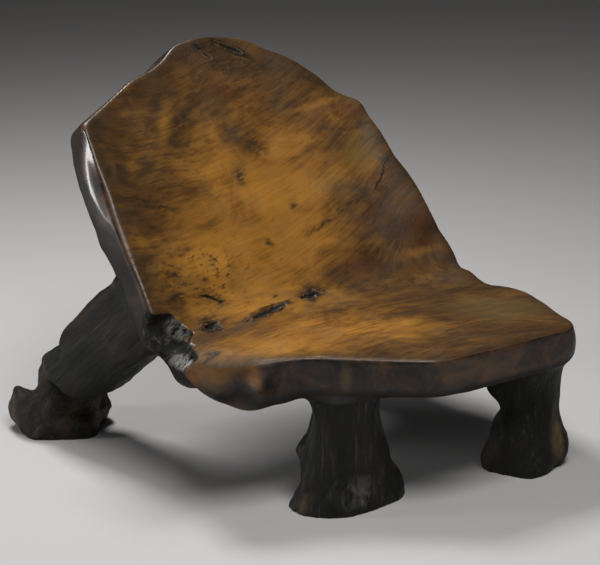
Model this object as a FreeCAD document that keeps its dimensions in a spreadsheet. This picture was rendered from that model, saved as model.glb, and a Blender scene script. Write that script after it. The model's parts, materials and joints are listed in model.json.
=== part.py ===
"""Low reclining chair of carved slabs on root-like legs, built as separate timbers with their joinery.

Millimetres, +Z up, the sitter faces -Y and +X is the sitter's left.
The origin is on the floor, under the middle of the chair's bounding box.
The seat and the back are turned about one upright axis in front of the chair, so the back is hollow
towards the sitter. They meet on a mitre at the fold, held by loose tenons and draw pegs.
Each leg has a round tenon in a blind mortise, spread there by a fox wedge.
"""

import FreeCAD
import Part
import Sketcher
import math
import os

Vector = FreeCAD.Vector
Rotation = FreeCAD.Rotation
Placement = FreeCAD.Placement

PARTS_FOLDER = "parts"
# How far the trimming cuts reach, how far outlines and profiles run on past the finished edges,
# and how much the leg flats and the wedge kerfs are cut oversize
CUT_REACH = 1200.0
OVERRUN = 160.0
FLAT_MARGIN = 4.0
KERF_OVERCUT = 4.0
RIGHT_ANGLE = 90.0
# Tolerances for picking faces and edges, and the turn in degrees under which a corner stays unrounded
PARALLEL = 1e-3
NEAR_EDGE = 0.5
NEAR_MITRE = 2.0
STRAIGHT = 8.0

SIZES = {
    # Fold, seat plane and the upright axis that the back is hollowed about
    "seat_height": 250,
    "fold_behind_origin": -12,
    "back_radius": 1000,
    "back_lean": 34,
    "seat_thickness": 66,
    "back_thickness": 66,
    "turned_angle": 60,
    "fold_corner_room": 36,
    "fold_corner_round": 60,
    # Plan of the seat: sides at the fold, then the corners round the front edge
    "fold_left_side": 280,
    "fold_right_side": 344,
    "seat_left_bulge": 309,
    "seat_left_bulge_ahead": 180,
    "seat_left_bulge_round": 120,
    "front_left_corner": 246,
    "front_edge": 374,
    "front_left_round": 60,
    "front_right_corner": 40,
    "front_right_round": 70,
    "seat_waist_side": 190,
    "seat_waist_ahead": 245,
    "seat_waist_round": 90,
    "seat_nose_side": 326,
    "seat_nose_ahead": 188,
    "seat_nose_round": 36,
    # Outline of the back, measured sideways and up its slope from the fold
    "right_shoulder_side": 349,
    "right_shoulder_rise": 346,
    "right_shoulder_round": 36,
    "crown_right_side": 112,
    "crown_right_rise": 476,
    "crown_right_round": 75,
    "crown_left_side": 34,
    "crown_left_rise": 480,
    "crown_left_round": 90,
    "left_shoulder_side": 219,
    "left_shoulder_rise": 332,
    "left_shoulder_round": 42,
    "left_flare_side": 251,
    "left_flare_rise": 96,
    "left_flare_round": 120,
    # Rounding of the slabs' edges
    "face_edge_round": 6,
    "under_edge_round": 12,
    # Right end of the seat: its hewn lower edge, rounded nose and broken hollow
    "nose_side": 276,
    "nose_ahead": 172,
    "nose_below_top": 46,
    "nose_half_width": 56,
    "nose_half_depth": 54,
    "nose_half_height": 38,
    "hewn_inset": 52,
    "hewn_rise": 52,
    "hollow_side": 352,
    "hollow_ahead": 92,
    "hollow_below_top": 4,
    "hollow_half_width": 48,
    "hollow_half_depth": 38,
    "hollow_half_height": 40,
    # Front right leg: a flared column
    "front_right_leg_side": 120,
    "front_right_leg_ahead": 240,
    "front_right_foot_width": 188,
    "front_right_foot_depth": 136,
    "front_right_instep_height": 45,
    "front_right_instep_width": 158,
    "front_right_instep_depth": 128,
    "front_right_waist_height": 118,
    "front_right_waist_width": 132,
    "front_right_waist_depth": 114,
    "front_right_hip_width": 140,
    "front_right_hip_depth": 120,
    # Front left leg: a hoof under a narrow ankle
    "front_left_leg_side": 210,
    "front_left_leg_ahead": 290,
    "front_left_foot_width": 132,
    "front_left_foot_depth": 116,
    "front_left_instep_height": 46,
    "front_left_instep_width": 144,
    "front_left_instep_depth": 126,
    "front_left_waist_height": 112,
    "front_left_waist_width": 104,
    "front_left_waist_depth": 90,
    "front_left_hip_width": 168,
    "front_left_hip_depth": 138,
    # Rear legs, measured out behind the fold in the upright plane that each one stands in
    "rear_right_splay": 13.9,
    "rear_left_splay": 9.5,
    "rear_hip_rise": 73,
    "rear_hip_width": 152,
    "rear_hip_depth": 158,
    "rear_flat_depth": 5,
    "rear_knee_behind": 200,
    "rear_knee_height": 182,
    "rear_knee_tilt": 42,
    "rear_knee_width": 134,
    "rear_knee_depth": 136,
    "rear_rim_behind": 284,
    "rear_rim_height": 104,
    "rear_rim_tilt": 30,
    "rear_rim_width": 134,
    "rear_rim_depth": 116,
    "rear_foot_behind": 346,
    "rear_foot_width": 148,
    "rear_foot_depth": 124,
    "rear_instep_height": 42,
    "rear_instep_width": 156,
    "rear_instep_depth": 134,
    "rear_ankle_behind": 318,
    "rear_ankle_height": 100,
    "rear_ankle_width": 96,
    "rear_ankle_depth": 82,
    "root_knob_out": 40,
    "root_knob_behind": 386,
    "root_knob_height": 44,
    "root_knob_half_width": 42,
    "root_knob_half_depth": 38,
    "root_knob_half_height": 36,
    # Leg tenons, their blind mortises and the fox wedges that spread them
    "tenon_diameter": 50,
    "tenon_length": 38,
    "mortise_depth": 40,
    "wedge_width": 44,
    "wedge_length": 30,
    "wedge_butt": 8,
    "wedge_tip": 2,
    "joint_fit": 0.2,
    "glue_line": 0.3,
    # Loose tenons and draw pegs across the fold
    "loose_tenon_count": 3,
    "loose_tenon_step": 6.5,
    "loose_tenon_width": 90,
    "loose_tenon_half_length": 34,
    "loose_tenon_thickness": 16,
    "peg_diameter": 12,
    "peg_length": 41,
    "peg_from_mitre": 18,
    "slot_end_room": 1.5,
}

doc = FreeCAD.newDocument("carved_slab_chair")
sheet = doc.addObject("Spreadsheet::Sheet", "Sizes")
for row, (alias, number) in enumerate(SIZES.items(), start=1):
    sheet.set(f"A{row}", alias)
    sheet.set(f"B{row}", str(number))
    sheet.setAlias(f"B{row}", alias)
doc.recompute()


class Size:
    """A number together with the expression that reads it from the sheet."""

    def __init__(self, value, text):
        self.value = float(value)
        self.text = text

    def __add__(self, other):
        other = as_size(other)
        return Size(self.value + other.value, f"({self.text} + {other.text})")

    def __sub__(self, other):
        other = as_size(other)
        return Size(self.value - other.value, f"({self.text} - {other.text})")

    def __mul__(self, other):
        other = as_size(other)
        return Size(self.value * other.value, f"({self.text} * {other.text})")

    def __truediv__(self, other):
        other = as_size(other)
        return Size(self.value / other.value, f"({self.text} / {other.text})")

    def __neg__(self):
        return Size(-self.value, f"(0 - {self.text})")


def as_size(number):
    """A plain number as a Size of its own."""
    return number if isinstance(number, Size) else Size(number, repr(float(number)))


def size(alias):
    """The named cell of the sheet."""
    return Size(sheet.get(alias), f"Sizes.{alias}")


def sine(angle):
    return Size(math.sin(math.radians(angle.value)), f"sin({angle.text})")


def cosine(angle):
    return Size(math.cos(math.radians(angle.value)), f"cos({angle.text})")


def root(amount):
    return Size(math.sqrt(amount.value), f"sqrt({amount.text})")


def bind(thing, path, amount):
    """Sets a property from the sheet and keeps it tied to the sheet."""
    thing.setExpression(path, as_size(amount).text)


# Derived places, in the upright plane through the axis: radius from the axis, then height
lean = size("back_lean")
fold_radius = size("back_radius")
seat_top = size("seat_height")
seat_under = seat_top - size("seat_thickness")
axis_place = size("fold_behind_origin") - fold_radius
mitre_top = (fold_radius, seat_top)
mitre_run = (size("back_thickness") - size("seat_thickness") * sine(lean)) / cosine(lean)
mitre_foot = (fold_radius + mitre_run, seat_under)
mitre_length = root(mitre_run * mitre_run + size("seat_thickness") * size("seat_thickness"))
mitre_across = (size("seat_thickness") / mitre_length, mitre_run / mitre_length)
mitre_along = (mitre_run / mitre_length, -size("seat_thickness") / mitre_length)
mitre_middle = (fold_radius + mitre_run / 2, seat_top - size("seat_thickness") / 2)
back_tilt = as_size(RIGHT_ANGLE) - lean
fold_zone = size("fold_corner_room")


def up_the_back(rise, depth=0.0):
    """Radius and height of a point that far up the back's slope and that deep behind its face."""
    radius = fold_radius + sine(lean) * rise + cosine(lean) * depth
    height = seat_top + cosine(lean) * rise - sine(lean) * depth
    return radius, height


def plane_of(body, role):
    """One of a body's own origin planes."""
    return next(f for f in body.Origin.OriginFeatures if f.Role == role)


def new_body(name):
    body = doc.addObject("PartDesign::Body", name)
    body.Label = name
    return body


def new_sketch(body, name, role="XY_Plane"):
    sketch = body.newObject("Sketcher::SketchObject", name)
    sketch.AttachmentSupport = [(plane_of(body, role), "")]
    sketch.MapMode = "FlatFace"
    return sketch


def turned_and_moved(sketch, base=(0, 0, 0), tilt=None):
    """Shifts a sketch within its plane's own axes and tilts it about its own X axis."""
    for letter, amount in zip("xyz", base):
        bind(sketch, f"AttachmentOffset.Base.{letter}", amount)
    if tilt is not None:
        sketch.AttachmentOffset = Placement(Vector(), Rotation(Vector(1, 0, 0), 1))
        bind(sketch, "AttachmentOffset.Rotation.Angle", tilt)


def add_outline(sketch, corners):
    """Closed outline of straight runs through the corners, each held at its place by the sheet."""
    points = [Vector(x.value, y.value, 0) for x, y in corners]
    runs = []
    for i, start in enumerate(points):
        runs.append(sketch.addGeometry(Part.LineSegment(start, points[(i + 1) % len(points)])))
    for i, run in enumerate(runs):
        sketch.addConstraint(Sketcher.Constraint("Coincident", run, 2, runs[(i + 1) % len(runs)], 1))
    for run, (x, y) in zip(runs, corners):
        for kind, amount in (("DistanceX", x), ("DistanceY", y)):
            at = sketch.addConstraint(Sketcher.Constraint(kind, -1, 1, run, 1, amount.value))
            bind(sketch, f"Constraints[{at}]", amount)


def add_circle(sketch, radius):
    """Circle about the sketch's origin."""
    ring = sketch.addGeometry(Part.Circle(Vector(), Vector(0, 0, 1), radius.value))
    sketch.addConstraint(Sketcher.Constraint("Coincident", ring, 3, -1, 1))
    at = sketch.addConstraint(Sketcher.Constraint("Radius", ring, radius.value))
    bind(sketch, f"Constraints[{at}]", radius)


def add_oval(sketch, width, depth):
    """Ellipse about the sketch's origin, its width along X and its depth along Y."""
    across = width.value >= depth.value
    long_end = Vector(width.value / 2, 0, 0) if across else Vector(0, depth.value / 2, 0)
    short_end = Vector(0, depth.value / 2, 0) if across else Vector(-width.value / 2, 0, 0)
    oval = sketch.addGeometry(Part.Ellipse(long_end, short_end, Vector()))
    sketch.exposeInternalGeometry(oval)
    long_axis, short_axis = oval + 1, oval + 2
    sketch.addConstraint(Sketcher.Constraint("Coincident", oval, 3, -1, 1))
    sketch.addConstraint(Sketcher.Constraint("Horizontal" if across else "Vertical", long_axis))
    for axis, amount in ((long_axis, width if across else depth), (short_axis, depth if across else width)):
        at = sketch.addConstraint(Sketcher.Constraint("Distance", axis, amount.value))
        bind(sketch, f"Constraints[{at}]", amount)


def add_feature(body, kind, name, profile):
    feature = body.newObject(f"PartDesign::{kind}", name)
    feature.Profile = profile
    profile.Visibility = False
    return feature


def cut_through(body, name, profile):
    """Cuts a profile right through the body, to both sides of its sketch."""
    cut = add_feature(body, "Pocket", name, profile)
    cut.Type = "ThroughAll"
    cut.Midplane = True
    doc.recompute()
    return cut


def cut_depth(body, name, profile, depth, along_normal):
    """Cuts a profile to a depth, along its sketch's normal or against it."""
    cut = add_feature(body, "Pocket", name, profile)
    bind(cut, "Length", depth)
    cut.Reversed = along_normal
    doc.recompute()
    return cut


def loft_through(body, name, sections):
    loft = body.newObject("PartDesign::AdditiveLoft", name)
    loft.Profile = sections[0]
    loft.Sections = sections[1:]
    loft.Ruled = False
    doc.recompute()
    return loft


def lump(body, kind, name, centre, halves):
    """Ellipsoid added to or taken from a body."""
    feature = body.newObject(f"PartDesign::{kind}Ellipsoid", name)
    for path, amount in zip(("Radius2", "Radius3", "Radius1"), halves):
        bind(feature, path, amount)
    for letter, amount in zip("xyz", centre):
        bind(feature, f"Placement.Base.{letter}", amount)
    doc.recompute()
    return feature


def edge_names(feature, wanted):
    """Names of the edges of a feature that a test accepts."""
    return [f"Edge{i}" for i, edge in enumerate(feature.Shape.Edges, start=1) if wanted(edge)]


def round_edges(body, name, base, wanted, radius):
    """Fillet on the edges that a test accepts."""
    names = edge_names(base, wanted)
    if not names:
        raise RuntimeError(f"{name}: no edge to round on {base.Label}")
    fillet = body.newObject("PartDesign::Fillet", name)
    fillet.Base = (base, names)
    bind(fillet, "Radius", radius)
    doc.recompute()
    return fillet


def straight_at(spot, direction):
    """Test for a straight edge that passes through a spot along a direction."""

    def wanted(edge):
        if edge.Curve.TypeId != "Part::GeomLine":
            return False
        start, end = edge.Vertexes[0].Point, edge.Vertexes[-1].Point
        run = end - start
        if run.Length < NEAR_EDGE or run.normalize().cross(direction).Length > PARALLEL:
            return False
        return (start - spot).cross(direction).Length < NEAR_EDGE

    return wanted


def round_corners(body, solid, corners, radii, place):
    """Rounds an outline's corners, each with its named radius, apart from one that is all but straight."""
    direction = place.Rotation.multVec(Vector(0, 0, 1))
    points = [Vector(x.value, y.value, 0) for x, y in corners]
    for before, corner, after, radius in zip(points, points[1:], points[2:], radii):
        if math.degrees((corner - before).getAngle(after - corner)) < STRAIGHT:
            continue
        at_corner = straight_at(place.multVec(corner), direction)
        solid = round_edges(body, radius, solid, at_corner, size(radius))
    return solid


def turned_slab(body, profile_corners):
    """Slab turned about the upright axis from its side profile."""
    profile = new_sketch(body, f"{body.Name}_profile", "YZ_Plane")
    turned_and_moved(profile, (axis_place, 0, 0))
    add_outline(profile, profile_corners)
    turned = add_feature(body, "Revolution", f"{body.Name}_turned", profile)
    turned.ReferenceAxis = (profile, ["V_Axis"])
    turned.Midplane = True
    bind(turned, "Angle", size("turned_angle"))
    doc.recompute()
    return turned


def trim_to_outline(body, sketch, corners):
    """Cuts away everything outside an outline."""
    reach = as_size(CUT_REACH)
    add_outline(sketch, [(-reach, -reach), (reach, -reach), (reach, reach), (-reach, reach)])
    add_outline(sketch, corners)
    return cut_through(body, f"{body.Name}_trim", sketch)


def fold_end(side):
    """How far ahead of its middle the fold has come at a distance to one side."""
    return fold_radius - root(fold_radius * fold_radius - side * side)


def slab_rims(solid, cut_direction, on_wanted_side):
    """Test for the edges between a slab's face or underside and the walls that its outline cut."""

    def middle_of(face):
        low_u, high_u, low_v, high_v = face.ParameterRange
        return (low_u + high_u) / 2, (low_v + high_v) / 2

    def is_wall(face):
        return abs(face.normalAt(*middle_of(face)).dot(cut_direction)) < PARALLEL

    def is_mitre(face):
        spot = face.valueAt(*middle_of(face))
        radius = math.hypot(spot.x, spot.y - axis_place.value)
        ahead = mitre_foot[0].value - (spot.z - seat_under.value) * mitre_run.value / size("seat_thickness").value
        return abs(radius - ahead) < NEAR_MITRE

    def wanted(edge):
        faces = solid.Shape.ancestorsOfType(edge, Part.Face)
        walls = [face for face in faces if is_wall(face)]
        others = [face for face in faces if not is_wall(face) and not is_mitre(face)]
        if len(walls) != 1 or len(others) != 1:
            return False
        return on_wanted_side(edge.valueAt((edge.FirstParameter + edge.LastParameter) / 2))

    return wanted


def seat_slab():
    body = new_body("seat_slab")
    far_front = fold_radius - size("front_edge") - OVERRUN
    glue = size("glue_line")
    corners = [
        (far_front, seat_under),
        (mitre_foot[0] - glue / mitre_across[0], seat_under),
        (mitre_top[0] - glue / mitre_across[0], seat_top),
        (far_front, seat_top),
    ]
    turned_slab(body, corners)

    left_side = size("fold_left_side")
    right_side = size("fold_right_side")
    behind = size("fold_behind_origin")
    rounded = [
        (left_side, behind - fold_end(left_side) - fold_zone, "fold_corner_round"),
        (size("seat_left_bulge"), -size("seat_left_bulge_ahead"), "seat_left_bulge_round"),
        (size("front_left_corner"), -size("front_edge"), "front_left_round"),
        (-size("front_right_corner"), -size("front_edge"), "front_right_round"),
        (-size("seat_waist_side"), -size("seat_waist_ahead"), "seat_waist_round"),
        (-size("seat_nose_side"), -size("seat_nose_ahead"), "seat_nose_round"),
        (-right_side, behind - fold_end(right_side) - fold_zone, "fold_corner_round"),
    ]
    plan_corners = [(left_side, behind + OVERRUN)]
    plan_corners += [(x, y) for x, y, _ in rounded]
    plan_corners += [(-right_side, behind + OVERRUN)]
    plan = new_sketch(body, "seat_plan")
    solid = trim_to_outline(body, plan, plan_corners)
    solid = round_corners(body, solid, plan_corners, [radius for _, _, radius in rounded], Placement())
    upright = Vector(0, 0, 1)
    middle = (seat_top.value + seat_under.value) / 2
    face_rim = slab_rims(solid, upright, lambda spot: spot.z > middle)
    solid = round_edges(body, "seat_face_edge", solid, face_rim, size("face_edge_round"))
    under_rim = slab_rims(solid, upright, lambda spot: spot.z < middle)
    solid = round_edges(body, "seat_under_edge", solid, under_rim, size("under_edge_round"))
    hew_right_end(body)
    centre = (-size("nose_side"), -size("nose_ahead"), seat_top - size("nose_below_top"))
    halves = (size("nose_half_width"), size("nose_half_depth"), size("nose_half_height"))
    lump(body, "Additive", "nose", centre, halves)
    centre = (-size("hollow_side"), -size("hollow_ahead"), seat_top - size("hollow_below_top"))
    halves = (size("hollow_half_width"), size("hollow_half_depth"), size("hollow_half_height"))
    lump(body, "Subtractive", "broken_hollow", centre, halves)
    for x, y in front_leg_places():
        sketch = new_sketch(body, "leg_mortise")
        turned_and_moved(sketch, (x, y, seat_under))
        add_circle(sketch, size("tenon_diameter") / 2 + size("joint_fit"))
        cut_depth(body, "leg_mortise_cut", sketch, size("mortise_depth"), True)
    cut_fold_joints(body, seat_peg_frame())
    return body


def back_slab():
    body = new_body("back_slab")
    past_crown = size("crown_right_rise") + OVERRUN
    corners = [
        mitre_foot,
        up_the_back(past_crown, size("back_thickness")),
        up_the_back(past_crown),
        mitre_top,
    ]
    turned_slab(body, corners)

    left_side = size("fold_left_side")
    right_side = size("fold_right_side")
    rounded = [
        (-right_side, fold_zone - fold_end(right_side) * sine(lean), "fold_corner_round"),
        (-size("right_shoulder_side"), size("right_shoulder_rise"), "right_shoulder_round"),
        (-size("crown_right_side"), size("crown_right_rise"), "crown_right_round"),
        (size("crown_left_side"), size("crown_left_rise"), "crown_left_round"),
        (size("left_shoulder_side"), size("left_shoulder_rise"), "left_shoulder_round"),
        (size("left_flare_side"), size("left_flare_rise"), "left_flare_round"),
        (left_side, fold_zone - fold_end(left_side) * sine(lean), "fold_corner_round"),
    ]
    below = as_size(-OVERRUN)
    outline_corners = [(-right_side, below)]
    outline_corners += [(x, y) for x, y, _ in rounded]
    outline_corners += [(left_side, below)]
    outline = new_sketch(body, "back_outline")
    turned_and_moved(outline, (0, size("fold_behind_origin"), seat_top), back_tilt)
    solid = trim_to_outline(body, outline, outline_corners)
    fold_point = Vector(0, size("fold_behind_origin").value, seat_top.value)
    place = Placement(fold_point, Rotation(Vector(1, 0, 0), back_tilt.value))
    solid = round_corners(body, solid, outline_corners, [radius for _, _, radius in rounded], place)
    facing = place.Rotation.multVec(Vector(0, 0, 1))

    def on_face(spot):
        out = math.hypot(spot.x, spot.y - axis_place.value) - fold_radius.value
        depth = out * cosine(lean).value - (spot.z - seat_top.value) * sine(lean).value
        return depth < size("back_thickness").value / 2

    face_rim = slab_rims(solid, facing, on_face)
    solid = round_edges(body, "back_face_edge", solid, face_rim, size("face_edge_round"))
    rear_rim = slab_rims(solid, facing, lambda spot: not on_face(spot))
    round_edges(body, "back_rear_edge", solid, rear_rim, size("under_edge_round"))
    hew_right_end(body)
    for frame in rear_hip_frames():
        flat = new_sketch(body, "leg_flat")
        flat.AttachmentOffset = frame
        add_oval(flat, size("rear_hip_width") + FLAT_MARGIN, size("rear_hip_depth") + FLAT_MARGIN)
        cut_depth(body, "leg_flat_cut", flat, as_size(OVERRUN), False)
        sketch = new_sketch(body, "leg_mortise")
        sketch.AttachmentOffset = frame
        add_circle(sketch, size("tenon_diameter") / 2 + size("joint_fit"))
        cut_depth(body, "leg_mortise_cut", sketch, size("mortise_depth"), True)
    cut_fold_joints(body, back_peg_frame())
    return body


def hew_right_end(body):
    """Bevel under the right end of the seat and the back."""
    inset = size("hewn_inset")
    rise = size("hewn_rise")
    inner = inset * 2 - size("fold_right_side")
    outer = -size("fold_right_side") - inset
    sketch = new_sketch(body, "hewn_bevel", "XZ_Plane")
    add_outline(sketch, [(outer, seat_under - rise), (inner, seat_under - rise), (outer, seat_under + rise * 2)])
    cut_through(body, "hewn_bevel_cut", sketch)


def about_axis(angle):
    """Placement that turns the upright plane of the sketches to an angle about the axis."""
    return Placement(Vector(0, axis_place.value, 0), Rotation(Vector(0, 0, 1), angle))


def in_upright_plane(radius, height, tilt):
    """Placement in the upright plane whose own Z axis runs into the wood."""
    return Placement(Vector(0, radius.value, height.value), Rotation(Vector(1, 0, 0), tilt.value))


def front_leg_places():
    return [
        (-size("front_right_leg_side"), -size("front_right_leg_ahead")),
        (size("front_left_leg_side"), -size("front_left_leg_ahead")),
    ]


def rear_hip_spot():
    return up_the_back(size("rear_hip_rise"), size("back_thickness") - size("rear_flat_depth"))


def rear_hip_frames():
    """Where the two rear legs meet the back, the right one first."""
    radius, height = rear_hip_spot()
    turns = (size("rear_right_splay").value, -size("rear_left_splay").value)
    return [about_axis(turn) * in_upright_plane(radius, height, back_tilt) for turn in turns]


def loose_tenon_turns():
    """Angles of the loose tenons about the axis, from the right to the left."""
    count = int(size("loose_tenon_count").value)
    step = size("loose_tenon_step").value
    return [step * ((count - 1) / 2 - i) for i in range(count)]


def seat_peg_frame():
    """Start of a draw peg under the seat, in the upright plane."""
    along = size("peg_from_mitre")
    return in_upright_plane(mitre_middle[0] - mitre_across[0] * along, seat_under, as_size(0))


def back_peg_frame():
    """Start of a draw peg at the rear of the back, in the upright plane."""
    along = size("peg_from_mitre")
    spot = (mitre_middle[0] + mitre_across[0] * along, mitre_middle[1] + mitre_across[1] * along)
    rise = (spot[0] - fold_radius) * sine(lean) + (spot[1] - seat_top) * cosine(lean)
    radius, height = up_the_back(rise, size("back_thickness"))
    return in_upright_plane(radius, height, back_tilt)


def loose_tenon_corners(end_room):
    """Section of a loose tenon, or of its slot with room beyond the ends, in the upright plane."""
    half = size("loose_tenon_half_length") + end_room
    thick = size("loose_tenon_thickness") / 2
    corners = []
    for end, side in ((-1, -1), (1, -1), (1, 1), (-1, 1)):
        radius = mitre_middle[0] + mitre_across[0] * half * end + mitre_along[0] * thick * side
        height = mitre_middle[1] + mitre_across[1] * half * end + mitre_along[1] * thick * side
        corners.append((radius, height))
    return corners


def cut_fold_joints(body, peg_frame):
    """Slots for the loose tenons and holes for the draw pegs."""
    for turn in loose_tenon_turns():
        slot = new_sketch(body, "tenon_slot", "YZ_Plane")
        plane = plane_of(body, "YZ_Plane").Placement
        slot.AttachmentOffset = plane.inverse() * about_axis(turn) * plane
        add_outline(slot, loose_tenon_corners(size("slot_end_room")))
        cut = add_feature(body, "Pocket", "tenon_slot_cut", slot)
        cut.Midplane = True
        bind(cut, "Length", size("loose_tenon_width"))
        hole = new_sketch(body, "peg_hole")
        hole.AttachmentOffset = about_axis(turn) * peg_frame
        add_circle(hole, size("peg_diameter") / 2 + size("joint_fit"))
        cut_depth(body, "peg_hole_cut", hole, size("peg_length"), True)


def add_tenon(body, frame):
    """Round tenon with the kerf for its fox wedge."""
    shank = new_sketch(body, "tenon_ring")
    shank.AttachmentOffset = frame
    add_circle(shank, size("tenon_diameter") / 2)
    pad = add_feature(body, "Pad", "tenon", shank)
    bind(pad, "Length", size("tenon_length"))
    doc.recompute()
    kerf = new_sketch(body, "kerf", "XZ_Plane")
    plane = plane_of(body, "XZ_Plane").Placement
    kerf.AttachmentOffset = plane.inverse() * frame * plane
    add_outline(kerf, wedge_corners())
    cut = add_feature(body, "Pocket", "kerf_cut", kerf)
    cut.Midplane = True
    bind(cut, "Length", size("tenon_diameter") + KERF_OVERCUT)
    doc.recompute()


def wedge_corners():
    tip = size("mortise_depth") - size("wedge_length")
    return [
        (-size("wedge_tip") / 2, tip),
        (size("wedge_tip") / 2, tip),
        (size("wedge_butt") / 2, size("mortise_depth")),
        (-size("wedge_butt") / 2, size("mortise_depth")),
    ]


def fox_wedge(name, frame):
    body = new_body(name)
    body.Placement = frame
    sketch = new_sketch(body, f"{name}_section", "XZ_Plane")
    add_outline(sketch, wedge_corners())
    pad = add_feature(body, "Pad", f"{name}_pad", sketch)
    pad.Midplane = True
    bind(pad, "Length", size("wedge_width"))
    doc.recompute()
    return body


def section(body, name, width, depth, base, tilt=None):
    """Oval section of a leg, in the body's own axes."""
    sketch = new_sketch(body, name)
    turned_and_moved(sketch, base, tilt)
    add_oval(sketch, width, depth)
    return sketch


def front_leg(name, place):
    """Upright leg under the seat; its sections read the sizes that carry its name."""
    body = new_body(f"{name}_leg")
    body.Placement.Base = Vector(place[0].value, place[1].value, 0)
    heights = {
        "foot": as_size(0),
        "instep": size(f"{name}_instep_height"),
        "waist": size(f"{name}_waist_height"),
        "hip": seat_under,
    }
    sections = []
    for level, height in heights.items():
        width = size(f"{name}_{level}_width")
        depth = size(f"{name}_{level}_depth")
        sections.append(section(body, f"{name}_{level}", width, depth, (0, 0, height)))
    loft_through(body, f"{name}_column", sections)
    top = Placement(Vector(0, 0, seat_under.value), Rotation())
    add_tenon(body, top)
    world = Placement(Vector(place[0].value, place[1].value, 0), Rotation()) * top
    return [body, fox_wedge(f"{name}_wedge", world)]


def rear_leg(name, turn, outward):
    """Splayed leg behind the back: a sloping shank that ends in a rim over its foot."""
    body = new_body(f"{name}_leg")
    body.Placement = about_axis(turn)
    radius, height = rear_hip_spot()

    def behind(level):
        return fold_radius + size(f"rear_{level}_behind")

    def cross(level, base, tilt=None):
        return section(body, f"{name}_{level}", size(f"rear_{level}_width"), size(f"rear_{level}_depth"), base, tilt)

    shank = [
        cross("hip", (0, radius, height), back_tilt),
        cross("knee", (0, behind("knee"), size("rear_knee_height")), size("rear_knee_tilt")),
        cross("rim", (0, behind("rim"), size("rear_rim_height")), size("rear_rim_tilt")),
    ]
    loft_through(body, f"{name}_shank", shank)
    foot = [
        cross("foot", (0, behind("foot"), 0)),
        cross("instep", (0, behind("foot"), size("rear_instep_height"))),
        cross("ankle", (0, behind("ankle"), size("rear_ankle_height"))),
    ]
    loft_through(body, f"{name}_hoof", foot)
    centre = (size("root_knob_out") * outward, fold_radius + size("root_knob_behind"), size("root_knob_height"))
    halves = (size("root_knob_half_width"), size("root_knob_half_depth"), size("root_knob_half_height"))
    lump(body, "Additive", f"{name}_knob", centre, halves)
    hip = in_upright_plane(radius, height, back_tilt)
    add_tenon(body, hip)
    return [body, fox_wedge(f"{name}_wedge", about_axis(turn) * hip)]


def loose_tenon(name, turn):
    """Flat tenon across the fold, bored for its two draw pegs."""
    body = new_body(name)
    body.Placement = about_axis(turn)
    sketch = new_sketch(body, f"{name}_section", "YZ_Plane")
    add_outline(sketch, loose_tenon_corners(as_size(0)))
    pad = add_feature(body, "Pad", f"{name}_pad", sketch)
    pad.Midplane = True
    bind(pad, "Length", size("loose_tenon_width"))
    for frame in (seat_peg_frame(), back_peg_frame()):
        hole = new_sketch(body, "peg_hole")
        hole.AttachmentOffset = frame
        add_circle(hole, size("peg_diameter") / 2 + size("joint_fit"))
        cut_depth(body, "peg_hole_cut", hole, size("peg_length"), True)
    return body


def draw_pegs():
    """All the draw pegs, as one group of separate solids."""
    pegs = []
    for turn in loose_tenon_turns():
        for frame in (seat_peg_frame(), back_peg_frame()):
            peg = doc.addObject("Part::Cylinder", "draw_peg")
            bind(peg, "Radius", size("peg_diameter") / 2)
            bind(peg, "Height", size("peg_length"))
            peg.Placement = about_axis(turn) * frame
            pegs.append(peg)
    group = doc.addObject("Part::Compound", "draw_pegs")
    group.Label = "draw_pegs"
    group.Links = pegs
    return group


def build():
    nodes = [seat_slab(), back_slab()]
    for name, place in zip(("front_right", "front_left"), front_leg_places()):
        nodes += front_leg(name, place)
    nodes += rear_leg("rear_right", size("rear_right_splay").value, -1)
    nodes += rear_leg("rear_left", -size("rear_left_splay").value, 1)
    names = ("fold_tenon_right", "fold_tenon_middle", "fold_tenon_left")
    nodes += [loose_tenon(name, turn) for name, turn in zip(names, loose_tenon_turns())]
    nodes.append(draw_pegs())
    doc.recompute()
    centre_over_origin(nodes)
    return nodes


def centre_over_origin(nodes):
    """Moves the chair so that the origin is on the floor under the middle of its box."""
    box = Part.makeCompound([node.Shape for node in nodes]).optimalBoundingBox()
    shift = Vector(-box.Center.x, -box.Center.y, 0)
    print("moved over the origin by", round(shift.x, 2), round(shift.y, 2))
    for node in nodes:
        if node.TypeId == "Part::Compound":
            for peg in node.Links:
                peg.Placement.Base = peg.Placement.Base + shift
        else:
            node.Placement.Base = node.Placement.Base + shift
    doc.recompute()


def write(nodes):
    """Checks every object, then writes one STEP file for each node."""
    faulty = [o.Name for o in doc.Objects if "Invalid" in o.State or "Error" in o.State]
    faulty += [n.Label for n in nodes if n.Shape.isNull() or not n.Shape.isValid() or n.Shape.Volume <= 0]
    if faulty:
        raise RuntimeError("faulty objects: " + ", ".join(faulty))
    os.makedirs(PARTS_FOLDER, exist_ok=True)
    for node in nodes:
        node.Shape.exportStep(f"{PARTS_FOLDER}/{node.Label}.step")
        print(node.Label, len(node.Shape.Solids), round(node.Shape.Volume / 1000), "cm3")


write(build())
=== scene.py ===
"""Looks of the low carved chair: one rough log form, shaped, then cut into its timbers at the joints."""

import json
import math

import bpy
import numpy as np
from mathutils import Matrix, Vector
from mathutils.kdtree import KDTree

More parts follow.
